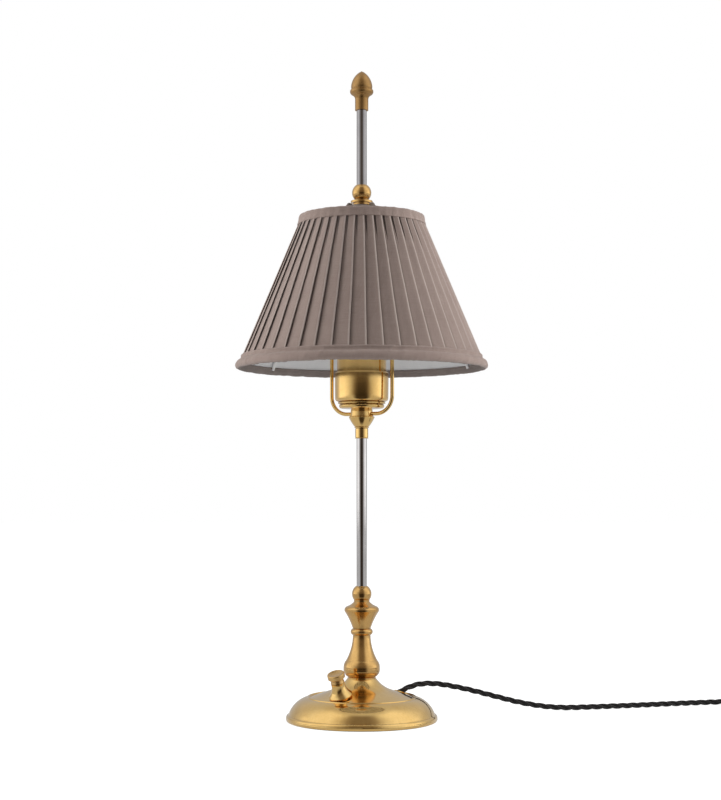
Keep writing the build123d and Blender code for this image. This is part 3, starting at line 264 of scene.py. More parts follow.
iron = plain("cast_iron", (0.07, 0.065, 0.06), (0.03, 0.028, 0.026), 0.55, 0.85, 120.0, 0.0003)
porcelain = plain("porcelain", (0.82, 0.80, 0.75), (0.72, 0.70, 0.65), 0.10, 0.25, 60.0, 0.00002,
                  Coat_Weight=0.4)
black_plastic = plain("black_plastic", (0.018, 0.017, 0.017), (0.010, 0.010, 0.010), 0.28, 0.45, 200.0,
                      0.00003)
core_blue = plain("core_blue", (0.02, 0.09, 0.42), (0.015, 0.06, 0.33), 0.35, 0.5)
core_brown = plain("core_brown", (0.17, 0.07, 0.03), (0.12, 0.05, 0.02), 0.35, 0.5)
core_black = plain("core_black", (0.03, 0.03, 0.03), (0.015, 0.015, 0.015), 0.35, 0.5)
core_green = plain("core_green", (0.10, 0.35, 0.06), (0.35, 0.42, 0.05), 0.35, 0.5, 60.0)
white_wire = plain("white_wire", (0.92, 0.92, 0.92), (0.84, 0.845, 0.85), 0.30, 0.50, 150.0, 0.00004)
taupe_wire = plain("taupe_wire", (0.30, 0.25, 0.21), (0.22, 0.18, 0.15), 0.45, 0.70, 250.0, 0.00008)


def opal_glass():
    """Milky glass of the bulb, glossy with a faint unevenness."""
    made, tree, shader = start("opal_glass", Subsurface_Weight=0.35, Subsurface_Scale=0.004, Coat_Weight=0.6,
                               Coat_Roughness=0.03, IOR=1.5)
    shader.inputs["Subsurface Radius"].default_value = (1.0, 0.95, 0.85)
    milk = ramp(tree, speckle(tree, 45.0, 3.0), [(0.3, (0.78, 0.78, 0.76)), (0.7, (0.86, 0.86, 0.85))])
    tree.links.new(milk, shader.inputs["Base Color"])
    tree.links.new(span(tree, speckle(tree, 300.0, 3.0), 0.14, 0.24), shader.inputs["Roughness"])
    bump(tree, shader, speckle(tree, 90.0, 2.0), 0.00004, 0.4)
    return made


def felt():
    """Dark green felt with tangled fibres."""
    made, tree, shader = start("felt", Sheen_Weight=0.5, Sheen_Roughness=0.6)
    fibres = speckle(tree, 900.0, 5.0, 0.7, distortion=1.5)
    tree.links.new(ramp(tree, fibres, [(0.3, (0.020, 0.035, 0.022)), (0.75, (0.06, 0.09, 0.06))]),
                   shader.inputs["Base Color"])
    tree.links.new(span(tree, fibres, 0.8, 1.0), shader.inputs["Roughness"])
    bump(tree, shader, fibres, 0.0004, 0.8)
    return made


# Painted shade: the pockets beside the folds are painted towards this share of the cloth's deep colour.
POCKET_SHADE_LEVEL = 0.32  # how bright the cloth is deep in a fold


def woven(name, light, deep, pitch, relief, rough_low, rough_high, clouds, mottle, painted_light=None, **fixed):
    """Plain-weave cloth in its own UV metres: crossing threads, slubs, soft patches and a sheen.

    With a highlight colour given, the folds' crowns are painted lighter towards it and their pockets are
    painted darker, as two of the mesh's attributes say: painted highlight and painted shade.
    """
    made, tree, shader = start(name, **fixed)
    flat = add(tree, "UVMap", uv_map="cloth").outputs["UV"]
    pair = add(tree, "SeparateXYZ", {"Vector": flat})
    turn = TAU / pitch
    across = math_node(tree, "SINE", math_node(tree, "MULTIPLY", pair.outputs["X"], turn))
    up = math_node(tree, "SINE", math_node(tree, "MULTIPLY", pair.outputs["Y"], turn))
    weave = math_node(tree, "MULTIPLY", across, up)
    warp = speckle(tree, 1.0, 3.0, 0.6, stretched(tree, (2600.0, 90.0, 1.0), flat))
    weft = speckle(tree, 1.0, 3.0, 0.6, stretched(tree, (70.0, 2300.0, 1.0), flat))
    slub = math_node(tree, "ADD", warp, weft)
    patches = speckle(tree, mottle, 4.0, 0.6)
    offset = 0.5 * (0.42 - clouds)
    drift = add(tree, "Math", {0: patches, 1: clouds, 2: offset}, operation="MULTIPLY_ADD").outputs[0]
    tone = math_node(tree, "ADD", math_node(tree, "MULTIPLY", slub, 0.32), drift)
    tone = math_node(tree, "ADD", tone, math_node(tree, "MULTIPLY", weave, 0.05))
    colour = ramp(tree, tone, [(0.34, deep), (0.72, light)])
    # Painted highlight on the folds' crowns and painted shade in their pockets.
    if painted_light is not None:
        crown_highlight = add(tree, "Attribute", attribute_name="painted_fold_highlight").outputs["Fac"]
        fibres = speckle(tree, 1.0, 2.0, 0.5, stretched(tree, (500.0, 60.0, 1.0), flat))
        highlight_share = math_node(tree, "MULTIPLY", crown_highlight, span(tree, fibres, 0.45, 1.25))
        colour = add(tree, "MixRGB", {"Fac": highlight_share, "Color1": colour, "Color2": (*painted_light, 1)}).outputs[0]
        shade_in_pocket = add(tree, "Attribute", attribute_name="painted_pocket_shade").outputs["Fac"]
        darker = math_node(tree, "MULTIPLY", shade_in_pocket, 0.8)
        shaded = tuple(POCKET_SHADE_LEVEL * c for c in deep)
        colour = add(tree, "MixRGB", {"Fac": darker, "Color1": colour, "Color2": (*shaded, 1)}).outputs[0]
    tree.links.new(colour, shader.inputs["Base Color"])
    tree.links.new(span(tree, slub, rough_low, rough_high), shader.inputs["Roughness"])
    height = math_node(tree, "ADD", math_node(tree, "MULTIPLY", weave, 0.5), slub)
    first = bump(tree, shader, height, relief, 0.7)
    bump(tree, shader, patches, 0.0003, 0.5 * clouds, first)
    return made


THREAD_PITCH = 0.00042
THREAD_RELIEF = 0.00010
# Its paler colour after the mottle is painted on the folds' crowns as a highlight.
taupe = woven("taupe_cloth", (0.43, 0.335, 0.295), (0.27, 0.20, 0.175), THREAD_PITCH, THREAD_RELIEF,
              0.55, 0.75, clouds=0.18, mottle=55.0, painted_light=(0.56, 0.475, 0.43), Sheen_Weight=0.25,
              Sheen_Roughness=0.35)
# A darker copy of the taupe cloth for the inside of the rolled trim: painted shade.
taupe_inside_shaded = woven("taupe_inside_shaded", (0.30, 0.255, 0.235), (0.17, 0.14, 0.13), THREAD_PITCH, THREAD_RELIEF,
                     0.6, 0.8, clouds=0.3, mottle=55.0)
lining_cloth = woven("lining_cloth", (0.87, 0.88, 0.90), (0.76, 0.775, 0.80), 0.0004, 0.00006, 0.5, 0.7,
                     clouds=0.3, mottle=40.0, Sheen_Weight=0.1)
YARN_PITCH = 0.0016
YARNS_ROUND = 6


def braid():
    """Black textile sleeve of one strand: two sets of yarns that cross at a slant."""
    made, tree, shader = start("black_textile", Sheen_Weight=0.12, Sheen_Roughness=0.5)
    flat = add(tree, "UVMap", uv_map="cloth").outputs["UV"]
    pair = add(tree, "SeparateXYZ", {"Vector": flat})
    along = math_node(tree, "MULTIPLY", pair.outputs["X"], TAU / YARN_PITCH)
    turned = math_node(tree, "MULTIPLY", pair.outputs["Y"], TAU * YARNS_ROUND)
    leftward = math_node(tree, "SINE", math_node(tree, "ADD", along, turned))
    rightward = math_node(tree, "SINE", math_node(tree, "SUBTRACT", along, turned))
    yarn = math_node(tree, "MULTIPLY", leftward, rightward)
    fuzz = speckle(tree, 2500.0, 4.0, 0.7)
    tone = math_node(tree, "ADD", math_node(tree, "MULTIPLY", yarn, 0.2), fuzz)
    tree.links.new(ramp(tree, tone, [(0.25, (0.003, 0.0025, 0.0025)), (0.85, (0.014, 0.011, 0.011))]),
                   shader.inputs["Base Color"])
    tree.links.new(span(tree, fuzz, 0.6, 0.85), shader.inputs["Roughness"])
    first = bump(tree, shader, yarn, 0.00012, 0.7)
    bump(tree, shader, fuzz, 0.00006, 0.5, first)
    return made


black_textile = braid()


def finish_nodes(finish, *names):
    """One finish on the whole of each named node."""
    for name in names:
        slots = NODES[name].data.materials
        for k in range(len(slots)):
            slots[k] = finish


finish_nodes(brass, "base_shell", "neck_sleeve", "harp_hub", "holder_shell", "harp_top_hub")
finish_nodes(brass_turned, "baluster", "lower_ball", "ball_nut")
finish_nodes(brass_aged, "finial_cup", "finial_acorn")
finish_nodes(brass_plain, "harp_arm_right", "harp_arm_left", "switch_bell", "switch_nut", "switch_bush",
             "cord_bush", "screw_shell", "centre_contact", "terminal_screws", "bulb_contact")
finish_nodes(brass_satin, "switch_knob")
finish_nodes(steel, "lower_tube")
finish_nodes(steel_dull, "upper_rod")
finish_nodes(zinc, "base_nipple", "base_washer", "base_nut", "holder_nipple", "holder_nut", "shade_stud",
             "plug_pins", "switch_spindle")
finish_nodes(iron, "base_weight")
finish_nodes(felt(), "base_felt")
finish_nodes(porcelain, "holder_insert")
finish_nodes(black_plastic, "switch_body", "cord_grip", "plug_body")
finish_nodes(core_blue, "lead_neutral")
finish_nodes(core_brown, "lead_live")
finish_nodes(core_black, "lead_switched")
finish_nodes(core_green, "lead_earth")
finish_nodes(opal_glass(), "bulb_glass")
finish_nodes(tin, "bulb_cap")
finish_nodes(taupe_wire, "shade_spider", "shade_washer")
finish_nodes(white_wire, "shade_struts", "shade_top_ring", "shade_bottom_ring")

# ---------------------------------------------------------------- cord
# The cord's sizes and points are in mm, as in the part's source.
CORD_DIAMETER = 5.4
CORD_ROUTE = [
    (26.7, 15.7, 18.9), (40.9, 24.1, 27.6), (62.0, 36.5, 30.2), (92.0, 46.8, 24.2), (122.0, 53.2, 15.9),
    (150.0, 59.6, 8.1), (182.0, 66.4, 2.7), (222.0, 75.6, 2.7), (264.0, 87.3, 2.7), (305.0, 100.3, 2.7),
    (340.0, 110.0, 2.7), (362.0, 114.5, 2.7),
]
TAIL_ROUTE = [(428.5, 65.0, 6.3), (428.9, 50.5, 3.15), (429.0, 37.4, 8.1)]
COIL_CENTRE = (388.8, 79.1)
COIL_RADIUS = 39.5
COIL_INNER_RADIUS = 19.7
COIL_POINTS = 24  # in each turn
COIL_START, COIL_MIDDLE, COIL_END = 100.0, -1196.0, -2520.0  # degrees, clockwise: inward, then out on top
COIL_CLIMB = 70.0  # degrees before and after the middle
ROUTE_ORDER = 3
ROUTE_RESOLUTION = 12


def coil_points():
    """The turns: inward on the floor, up by one diameter, and outward on top of the first layer."""
    low, high = CORD_DIAMETER / 2, CORD_DIAMETER * 1.5
    count = round((COIL_START - COIL_END) / 360 * COIL_POINTS)
    swell = 1 / math.cos(math.pi / COIL_POINTS)
    points = []
    for k in range(count + 1):
        turn = COIL_START + (COIL_END - COIL_START) * k / count
        if turn > COIL_MIDDLE:
            share = (COIL_START - turn) / (COIL_START - COIL_MIDDLE)
        else:
            share = 1 - (COIL_MIDDLE - turn) / (COIL_MIDDLE - COIL_END)
        radius = COIL_INNER_RADIUS + (COIL_RADIUS - COIL_INNER_RADIUS) * (1 - share)
        rise = float(smooth(COIL_MIDDLE + COIL_CLIMB - turn, 0, 2 * COIL_CLIMB))
        angle = math.radians(turn)
        points.append((COIL_CENTRE[0] + radius * swell * math.cos(angle),
                       COIL_CENTRE[1] + radius * swell * math.sin(angle), low + (high - low) * rise))
    return points


def route_line():
    """The cord's centre line, read from one smooth NURBS spline through its route."""
    curve = bpy.data.curves.new("cord_route", "CURVE")
    curve.dimensions = "3D"
    spline = curve.splines.new("NURBS")
    controls = [*CORD_ROUTE, *coil_points(), *TAIL_ROUTE]
    spline.points.add(len(controls) - 1)
    for point, (x, y, z) in zip(spline.points, controls):
        point.co = (x * MM, y * MM, z * MM, 1)
    spline.order_u = ROUTE_ORDER
    spline.use_endpoint_u = True
    spline.resolution_u = ROUTE_RESOLUTION
    route = bpy.data.objects.new("cord_route", curve)
    bpy.context.scene.collection.objects.link(route)
    bpy.context.view_layer.update()
    mesh = bpy.data.meshes.new_from_object(route)
    line = np.array([v.co for v in mesh.vertices], float)
    bpy.data.objects.remove(route)
    return line


def evenly(line, spacing):
    """Points at one spacing along a line, and their distances from its start."""
    lengths = np.concatenate([[0], np.cumsum(np.linalg.norm(np.diff(line, axis=0), axis=1))])
    marks = np.linspace(0, lengths[-1], round(lengths[-1] / spacing) + 1)
    return np.stack([np.interp(marks, lengths, line[:, k]) for k in range(3)], -1), marks


def unit(v):
    """Vectors of length 1 along v."""
    return v / np.linalg.norm(v, axis=-1, keepdims=True)


STRANDS = 3
STRAND_RADIUS = 1.25 * MM
STRAND_OFFSET = 1.45 * MM
STRAND_LAY = 31.0 * MM
STRAND_SIDES = 14
STRAND_SPACING = 1.3 * MM  # from ring to ring
STRAND_SLACK = 0.025  # the share by which a strand gets thinner in places


def twisted_cord():
    """Three textile strands laid round each other along the route."""
    line = route_line()
    centre, marks = evenly(line, STRAND_SPACING)
    way = unit(np.gradient(centre, axis=0))
    side = unit(np.cross(way, (0, 0, 1)))
    up = np.cross(side, way)
    sheets, uvs = [], []
    for k in range(STRANDS):
        phase = TAU * (marks / STRAND_LAY + k / STRANDS)
        out = np.cos(phase)[:, None] * up + np.sin(phase)[:, None] * side
        strand = centre + STRAND_OFFSET * out
        heading = unit(np.gradient(strand, axis=0))
        across = unit(np.cross(heading, out))
        turn = np.arange(STRAND_SIDES + 1) / STRAND_SIDES
        swell = 1 + STRAND_SLACK * np.sin(marks * 900 + 2.1 * k) * np.sin(marks * 213 + k)
        radius = STRAND_RADIUS * np.minimum(swell, 1.0)
        outward = np.cos(TAU * turn)[None, :, None] * out[:, None]
        ring = outward + np.sin(TAU * turn)[None, :, None] * across[:, None]
        sheets.append(strand[:, None] + radius[:, None, None] * ring)
        uvs.append(np.stack(np.broadcast_arrays(marks[:, None], turn[None, :]), -1))
    pairs = enumerate(zip(sheets, uvs))
    strands = [grid_object(f"cord_strand_{k}", sheet, uv, wrap=False) for k, (sheet, uv) in pairs]
    with bpy.context.temp_override(active_object=strands[0], selected_editable_objects=strands):
        bpy.ops.object.join()
    cord = strands[0]
    cord.name = "cord_twisted"
    cord.data.materials.append(black_textile)
    return cord, line


cord, cord_line = twisted_cord()
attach(cord, "stand")
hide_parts("cord", "cord_coil", "cord_tail")
cord_length = float(np.linalg.norm(np.diff(cord_line, axis=0), axis=1).sum())
print("cord line", round(cord_length, 4))

# ---------------------------------------------------------------- shade
# The shade's sizes and profiles are in mm.
PLEAT_COUNT = 43
PLEAT_TOP_RADIUS, BAND_BOTTOM = 58.64, 448.0
PLEAT_BOTTOM_RADIUS, TRIM_TOP = 108.2, 329.2
SHADE_SLOPE = (PLEAT_BOTTOM_RADIUS - PLEAT_TOP_RADIUS) / (BAND_BOTTOM - TRIM_TOP)
POCKET = 1.75  # depth of the cloth beside a fold
UNDERLAY_TOP, UNDERLAY_BOTTOM = 6.6, 3.5  # cloth hidden under a fold
FOLD_ROUND = 1.1  # radius of the soft edge of a fold
# Painted highlight on each point of a pleat's section, and painted shade in its pocket.
CROWN_HIGHLIGHT_SHARES = [0.0] * 12 + [0.1, 0.75, 1.0, 0.7, 0.2] + [0.0] * 7
POCKET_SHADE_SHARES = [1.0] * 4 + [0.5, 0.15] + [0.0] * 11 + [0.5] + [1.0] * 6
PLEAT_ROWS = 76
PLEAT_START = math.radians(4.5)
PLEAT_FRONT = math.radians(90)
PLEAT_CROWDING = 0.056
COVER_SEAM = 0.0005  # metres of cloth that close the ring
# A pleat's section: the underlay, the face, the soft edge of the fold and the cloth tucked under it.
UNDERLAY_SHARES = (0.0, 0.5, 0.94)
FACE_SHARES = (0.05, 0.13, 0.24, 0.36, 0.48, 0.6, 0.71, 0.81, 0.89, 0.95)
EDGE_TILTS = (0.0, 22.0, 42.0, 60.0, 78.0, 98.0, 125.0, 150.0)  # degrees
TUCK_SHARES = (0.3, 0.65, 1.0)


def envelope(z):
    """Radius of the cone that the folds lie on."""
    return PLEAT_TOP_RADIUS + SHADE_SLOPE * (BAND_BOTTOM - z)


def pleat_section(k, z, u):
    """One pleat at heights z: distance along the ring from its fold, and depth below the folds, in mm."""
    pitch = TAU * envelope(z) / PLEAT_COUNT
    ends = np.exp(-u / 0.035) + np.exp(-(1 - u) / 0.03)
    lift = 1 + 0.28 * wobble(k * 1.7, u * 2.2, 3.0) + 0.15 * wobble(k * 5.1, u * 0.3, 8.0)
    pocket = POCKET * (1 - 0.45 * ends) * np.clip(lift, 0.6, 1.18)
    under = UNDERLAY_BOTTOM + (UNDERLAY_TOP - UNDERLAY_BOTTOM) * u
    crown = FOLD_ROUND * (1 - 0.2 * ends)
    steps = []
    for share in UNDERLAY_SHARES:
        steps.append((-pitch - under * (1 - share), pocket))
    for s in FACE_SHARES:
        climb = 0.30 * s + 0.70 * smooth(s, 0.25, 1.0)
        belly = 0.10 * np.sin(s * 3.1) * (1 + wobble(k * 2.3 + s * 2, u * 4, 1.0))
        steps.append((-pitch + (pitch - FOLD_ROUND - 0.1) * s, pocket * (1 - climb) - belly * (1 - s)))
    for tilt in EDGE_TILTS:
        lean = math.radians(tilt)
        steps.append((-crown * (1 - math.sin(lean)), crown * 0.62 * (1 - math.cos(lean))))
    lowest = steps[-1][1]
    for share in TUCK_SHARES:
        steps.append((-crown - under * share, lowest + (pocket - lowest - 0.3) * share ** 1.5))
    return steps


def pleat_angle(k):
    """Where a pleat's fold stands: a little closer together in front, as they were laid by hand."""
    even = TAU * k / PLEAT_COUNT
    return even + PLEAT_START + PLEAT_CROWDING * math.sin(even + PLEAT_START - PLEAT_FRONT)


def pleated_cover():
    """The knife pleats as one cloth, with its size when it is unfolded and laid flat, in metres."""
    low, high = TRIM_TOP - 2.2, BAND_BOTTOM + 1.6  # its edges are hidden behind the trim and the band
    u = np.linspace(0, 1, PLEAT_ROWS)
    z = low + (high - low) * u
    columns, cut = [], np.zeros(PLEAT_ROWS)
    uv = []
    last = None
    for k in range(PLEAT_COUNT):
        drift = 0.42 * wobble(k * 3.3, u * 2.6, 5.0) + 0.14 * wobble(k * 1.9, u * 9.0, 6.0)
        drift = drift * smooth(u, 0, 0.12) * smooth(1 - u, 0, 0.12) + 0.25 * wobble(k * 4.7, 0.5, 2.0)
        for along, depth in pleat_section(k, z, u):
            ring = envelope(z)
            angle = pleat_angle(k) + (along + drift) / ring
            radius = ring - depth
            column = np.stack([radius * np.cos(angle), radius * np.sin(angle), z], -1) * MM
            if last is not None:
                cut = cut + np.linalg.norm(column - last, axis=1)
            last = column
            columns.append(column)
            uv.append(np.stack([cut, (z - low) * MM * math.hypot(1, SHADE_SLOPE)], -1))
    points = np.stack(columns, 1)
    uv.append(uv[-1] + (COVER_SEAM, 0))
    cover = grid_object("pleated_cover", points, np.stack(uv, 1))
    # The painted highlight and painted shade shares go on the mesh as point attributes.
    for label, shares in (("painted_fold_highlight", CROWN_HIGHLIGHT_SHARES), ("painted_pocket_shade", POCKET_SHADE_SHARES)):
        marked = cover.data.attributes.new(label, "FLOAT", "POINT")
        marked.data.foreach_set("value", np.tile(shares * PLEAT_COUNT, PLEAT_ROWS).astype(np.float32))
    return cover, float(cut.max()), (high - low) * MM * math.hypot(1, SHADE_SLOPE)


cover, cut_width, cut_length = pleated_cover()
cover.data.materials.append(taupe)
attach(cover, "shade")
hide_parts("shade_pleats")
print("pleated strip", round(cut_width, 3), round(cut_length, 3))


def swept_band(name, profile, segments, ripple):
    """A ring of cloth through (r, z) points in mm; ripple(angle, row share) shifts it outward in mm."""
    profile = np.array(profile, float)
    angle = TAU * np.arange(segments) / segments
    way = unit(np.gradient(profile, axis=0))
    normal = np.stack([way[:, 1], -way[:, 0]], -1)
    share = np.linspace(0, 1, len(profile))
    shift = ripple(angle[None, :], share[:, None])
    r = profile[:, 0, None] + normal[:, 0, None] * shift
    z = profile[:, 1, None] + normal[:, 1, None] * shift
    points = np.stack([r * np.cos(angle), r * np.sin(angle), z], -1) * MM
    length = np.concatenate([[0], np.cumsum(np.linalg.norm(np.diff(profile, axis=0), axis=1))]) * MM
    turn = np.arange(segments + 1) / segments * TAU * profile[0, 0] * MM
    uv = np.stack(np.broadcast_arrays(turn[None, :], length[:, None]), -1)
    return grid_object(name, points, uv)


def curve_through(points, count):
    """Catmull-Rom line through profile points, evenly divided."""
    p = np.array([points[0], *points, points[-1]], float)
    fine = []
    for a, b, c, d in zip(p, p[1:], p[2:], p[3:]):
        for t in np.linspace(0, 1, 12, endpoint=False):
            fine.append(0.5 * (2 * b + (c - a) * t + (2 * a - 5 * b + 4 * c - d) * t**2
                               + (3 * b - a - 3 * c + d) * t**3))
    fine.append(p[-1])
    fine = np.array(fine)
    lengths = np.concatenate([[0], np.cumsum(np.linalg.norm(np.diff(fine, axis=0), axis=1))])
    marks = np.linspace(0, lengths[-1], count)
    return np.stack([np.interp(marks, lengths, fine[:, k]) for k in range(2)], -1)


def band_ripple(angle, share):
    """The top band lies over the folds, so they show through faintly near its lower edge."""
    ridges = 0.10 * np.sin(PLEAT_COUNT * angle + 2.0) * (1 - share)
    slow = 0.30 * ring_wobble(angle, share * 2.0, 9.0, 1.0)
    return ridges + slow + 0.16 * ring_wobble(angle, share * 5.0, 30.0, 2.0)


TOP_BAND = [  # from its lower edge up the outside, over the wire and down the inside
    (57.2, 448.3), (58.7, 448.05), (58.75, 448.6), (58.2, 450.5), (57.85, 452.5), (57.7, 454.5),
    (57.4, 455.9), (56.3, 456.85), (54.3, 457.0), (52.0, 456.95), (50.3, 456.4), (49.6, 455.0),
    (49.5, 452.0), (49.9, 449.4), (51.6, 449.1),
]
band = swept_band("top_band_cloth", curve_through(TOP_BAND, 34), 516, band_ripple)
band.data.materials.append(taupe)
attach(band, "shade")
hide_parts("shade_top_band")


def trim_ripple(angle, share):
    """Slanting puckers of a rolled strip, which fade where it turns in to the lining."""
    slant = angle + 0.10 * share
    folds = 0.42 * ring_wobble(slant, share * 1.2, 14.0, 4.0)
    folds = folds + 0.26 * ring_wobble(slant, share * 3.0, 38.0, 7.0) - 0.12
    return folds * (1 - 0.8 * smooth(share, 0.72, 0.9))


BOTTOM_TRIM = [  # from its upper edge down the groove, round the flared roll and up the inside to its lip
    (106.6, 328.8), (108.2, 329.3), (109.1, 329.0), (109.6, 328.2), (109.5, 327.2), (109.7, 326.2),
    (110.5, 325.1), (112.3, 323.9), (113.6, 322.5), (114.35, 320.8), (114.4, 319.1), (113.6, 317.6),
    (112.1, 316.8), (110.5, 316.7), (109.2, 317.3), (108.3, 318.5), (107.6, 320.0), (106.9, 321.6),
    (106.6, 322.5), (106.9, 323.1), (107.7, 323.2),
]
trim = swept_band("bottom_trim_cloth", curve_through(BOTTOM_TRIM, 56), 640, trim_ripple)
trim.data.materials.append(taupe)
trim.data.materials.append(taupe_inside_shaded)
# Faces inside the roll take the darker copy of the cloth: painted shade.
TRIM_INSIDE_RADIUS = 112.2 * MM
TRIM_INSIDE_TOP = 323.8 * MM
for face in trim.data.polygons:
    if math.hypot(face.center[0], face.center[1]) < TRIM_INSIDE_RADIUS and face.center[2] < TRIM_INSIDE_TOP:
        face.material_index = 1
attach(trim, "shade")
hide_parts("shade_bottom_trim")


LINING_SAG = 0.35
LINING_PHASE = math.radians(82)
LINING_INSET = 2.9
LINING_BOTTOM, LINING_TOP = 322.3, 452.8
LINING_ROWS = 40


def lining_ripple(angle, share):
    """The cloth is drawn in at six places round it, most at mid height, with soft waves over that."""
    drawn = -LINING_SAG * np.sin(share * math.pi) * np.cos(3 * (angle - LINING_PHASE)) ** 2
    return drawn + 0.18 * ring_wobble(angle, share * 1.5, 8.0, 11.0)


LINING = [(envelope(z) - LINING_INSET, z) for z in np.linspace(LINING_BOTTOM, LINING_TOP, LINING_ROWS)]
lining = swept_band("lining_sheet", LINING, 300, lining_ripple)
lining.data.materials.append(lining_cloth)
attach(lining, "shade")
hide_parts("shade_lining")

# ---------------------------------------------------------------- lamp holder's cup, bead on the base
WELD_DISTANCE = 1e-6
SHARP_EDGE = math.radians(32)


def arc(r, z, radius, first, last, count=7):
    """Points of an arc in the (r, z) plane round a centre, angles in degrees from the outward direction."""
    angles = np.radians(np.linspace(first, last, count))
    return [(r + radius * math.cos(a), z + radius * math.sin(a)) for a in angles]


def no_ripple(angle, share):
    return 0 * angle * share


def turned_piece(name, profile, finish, segments=180):
    """A closed turned ring of metal from its (r, z) outline in mm."""
    piece = swept_band(name, [*profile, profile[0]], segments, no_ripple)
    work = bmesh.new()
    work.from_mesh(piece.data)
    bmesh.ops.remove_doubles(work, verts=work.verts, dist=WELD_DISTANCE)
    bmesh.ops.recalc_face_normals(work, faces=work.faces)
    work.to_mesh(piece.data)
    work.free()
    piece.data.set_sharp_from_angle(angle=SHARP_EDGE)
    piece.data.materials.append(finish)
    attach(piece, "stand")
    return piece


# From the hole in the foot outward, up the outside to the seam, and down the inside.
HOLDER_CUP = [
    (7.7, 281.0), *arc(18.4, 283.1, 2.1, -90, 50), *arc(20.4, 285.9, 1.15, -40, 60),
    *arc(21.5, 290.0, 2.65, -72, 0), (24.25, 294.0), (24.4, 302.0), (24.45, 312.7),
    *arc(23.9, 312.9, 0.55, 10, 90, 5), (23.1, 313.5), (23.0, 314.2), (22.0, 314.2), (22.0, 307.4),
    (23.3, 306.0), (23.3, 290.4), (21.0, 287.0), (18.4, 282.1), (7.7, 282.1),
]
holder_cup = turned_piece("holder_cup_turned", HOLDER_CUP, brass)
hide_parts("holder_cup")
BASE_BEAD = arc(48.2, 21.3, 0.95, 0, 330, 12)
turned_piece("base_step_bead", BASE_BEAD, brass)

# ---------------------------------------------------------------- floor, world and lamps
def grey(value):
    return (value, value, value)


def warm(value):
    """A grey level that turns brownish where it is dark, as the room behind the viewer is."""
    dim = max(0.0, 1 - value / 0.5)
    return (value, value * (1 - 0.25 * dim), value * (1 - 0.45 * dim))


WHITE = (1, 1, 1, 1)
FLOOR_REACH = 9.0  # metres each way
FLOOR_BOUNCE = 0.70  # what it throws back on the lamp
# The camera sees a white glow and a share that takes the shadow; polished metal mirrors the other two.
FLOOR_GLOW, FLOOR_SHADED = 0.90, 0.34
FLOOR_MIRRORED, OPENING_MIRRORED = 0.58, 0.05


def floor_opening(tree):
    """1 on the floor in front of the lamp, towards the viewer, where the pale sweep ends."""
    at = add(tree, "SeparateXYZ", {"Vector": add(tree, "NewGeometry").outputs["Position"]})
    near = step(tree, at.outputs["Y"], -0.055, -0.16)
    ratio = math_node(tree, "DIVIDE", at.outputs["X"], math_node(tree, "MINIMUM", at.outputs["Y"], -0.001))
    wide = math_node(tree, "ABSOLUTE", ratio)
    inside = step(tree, wide, 0.95, 0.35)
    return math_node(tree, "MULTIPLY", near, inside)


def stage_floor():
    """A pale floor with the lamp's shadow: white to the camera, greyer in the metal's reflections."""
    mesh = bpy.data.meshes.new("floor")
    reach = FLOOR_REACH
    corners = [(-reach, -reach, 0), (reach, -reach, 0), (reach, reach, 0), (-reach, reach, 0)]
    mesh.from_pydata(corners, [], [(0, 1, 2, 3)])
    floor = bpy.data.objects.new("floor", mesh)
    bpy.context.scene.collection.objects.link(floor)
    made = bpy.data.materials.new("floor")
    made.use_nodes = True
    tree = made.node_tree
    tree.nodes.remove(tree.nodes["Principled BSDF"])
    path = add(tree, "LightPath").outputs
    mirrored = math_node(tree, "MAXIMUM", path["Is Glossy Ray"], path["Is Transmission Ray"])
    plain_floor = add(tree, "BsdfDiffuse", {"Color": (*grey(FLOOR_BOUNCE), 1)})
    faint = add(tree, "BsdfDiffuse", {"Color": (*grey(FLOOR_SHADED), 1)})
    glow = add(tree, "Emission", {"Color": WHITE, "Strength": FLOOR_GLOW})
    white = add(tree, "AddShader", {0: glow.outputs[0], 1: faint.outputs[0]})
    pale = add(tree, "Emission", {"Color": WHITE, "Strength": FLOOR_MIRRORED})
    dark = add(tree, "Emission", {"Color": (*warm(OPENING_MIRRORED), 1), "Strength": 1.0})
    mirror = add(tree, "MixShader", {0: floor_opening(tree), 1: pale.outputs[0], 2: dark.outputs[0]})
    soft = add(tree, "MixShader", {0: mirrored, 1: plain_floor.outputs[0], 2: mirror.outputs[0]})
    out = add(tree, "MixShader", {0: path["Is Camera Ray"], 1: soft.outputs[0], 2: white.outputs[0]})
    tree.links.new(out.outputs[0], tree.nodes["Material Output"].inputs["Surface"])
    mesh.materials.append(made)


# Grey levels of the tent by azimuth in degrees: 0 is towards the viewer, 90 to the right, 180 at the back.
WALLS_LOW = [
    (-180, 0.45), (-158, 0.50), (-135, 0.48), (-118, 0.80), (-106, 1.45), (-80, 1.35), (-60, 0.95),
    (-46, 0.55), (-36, 0.25), (-26, 0.08), (-12, 0.03), (12, 0.03), (22, 0.07), (30, 0.22), (38, 0.42),
    (48, 0.68), (57, 0.90), (68, 1.10), (86, 1.50), (101, 1.40), (114, 0.72), (135, 0.50), (158, 0.50),
    (180, 0.45),
]
WALLS_RAISED = [
    (-180, 0.45), (-158, 0.50), (-135, 0.48), (-118, 0.70), (-106, 1.15), (-80, 1.10), (-60, 0.85),
    (-46, 0.60), (-36, 0.42), (-26, 0.26), (-16, 0.15), (16, 0.15), (26, 0.24), (36, 0.55), (48, 0.75),
    (57, 0.78), (68, 0.90), (86, 1.20), (101, 1.15), (114, 0.65), (135, 0.50), (158, 0.50), (180, 0.45),
]
WALLS_HIGH = [
    (-180, 0.50), (-130, 0.60), (-90, 1.00), (-60, 1.02), (-42, 0.75), (-26, 0.32), (-16, 0.22), (16, 0.22),
    (26, 0.32), (42, 0.75), (60, 1.02), (90, 1.05), (130, 0.62), (180, 0.50),
]
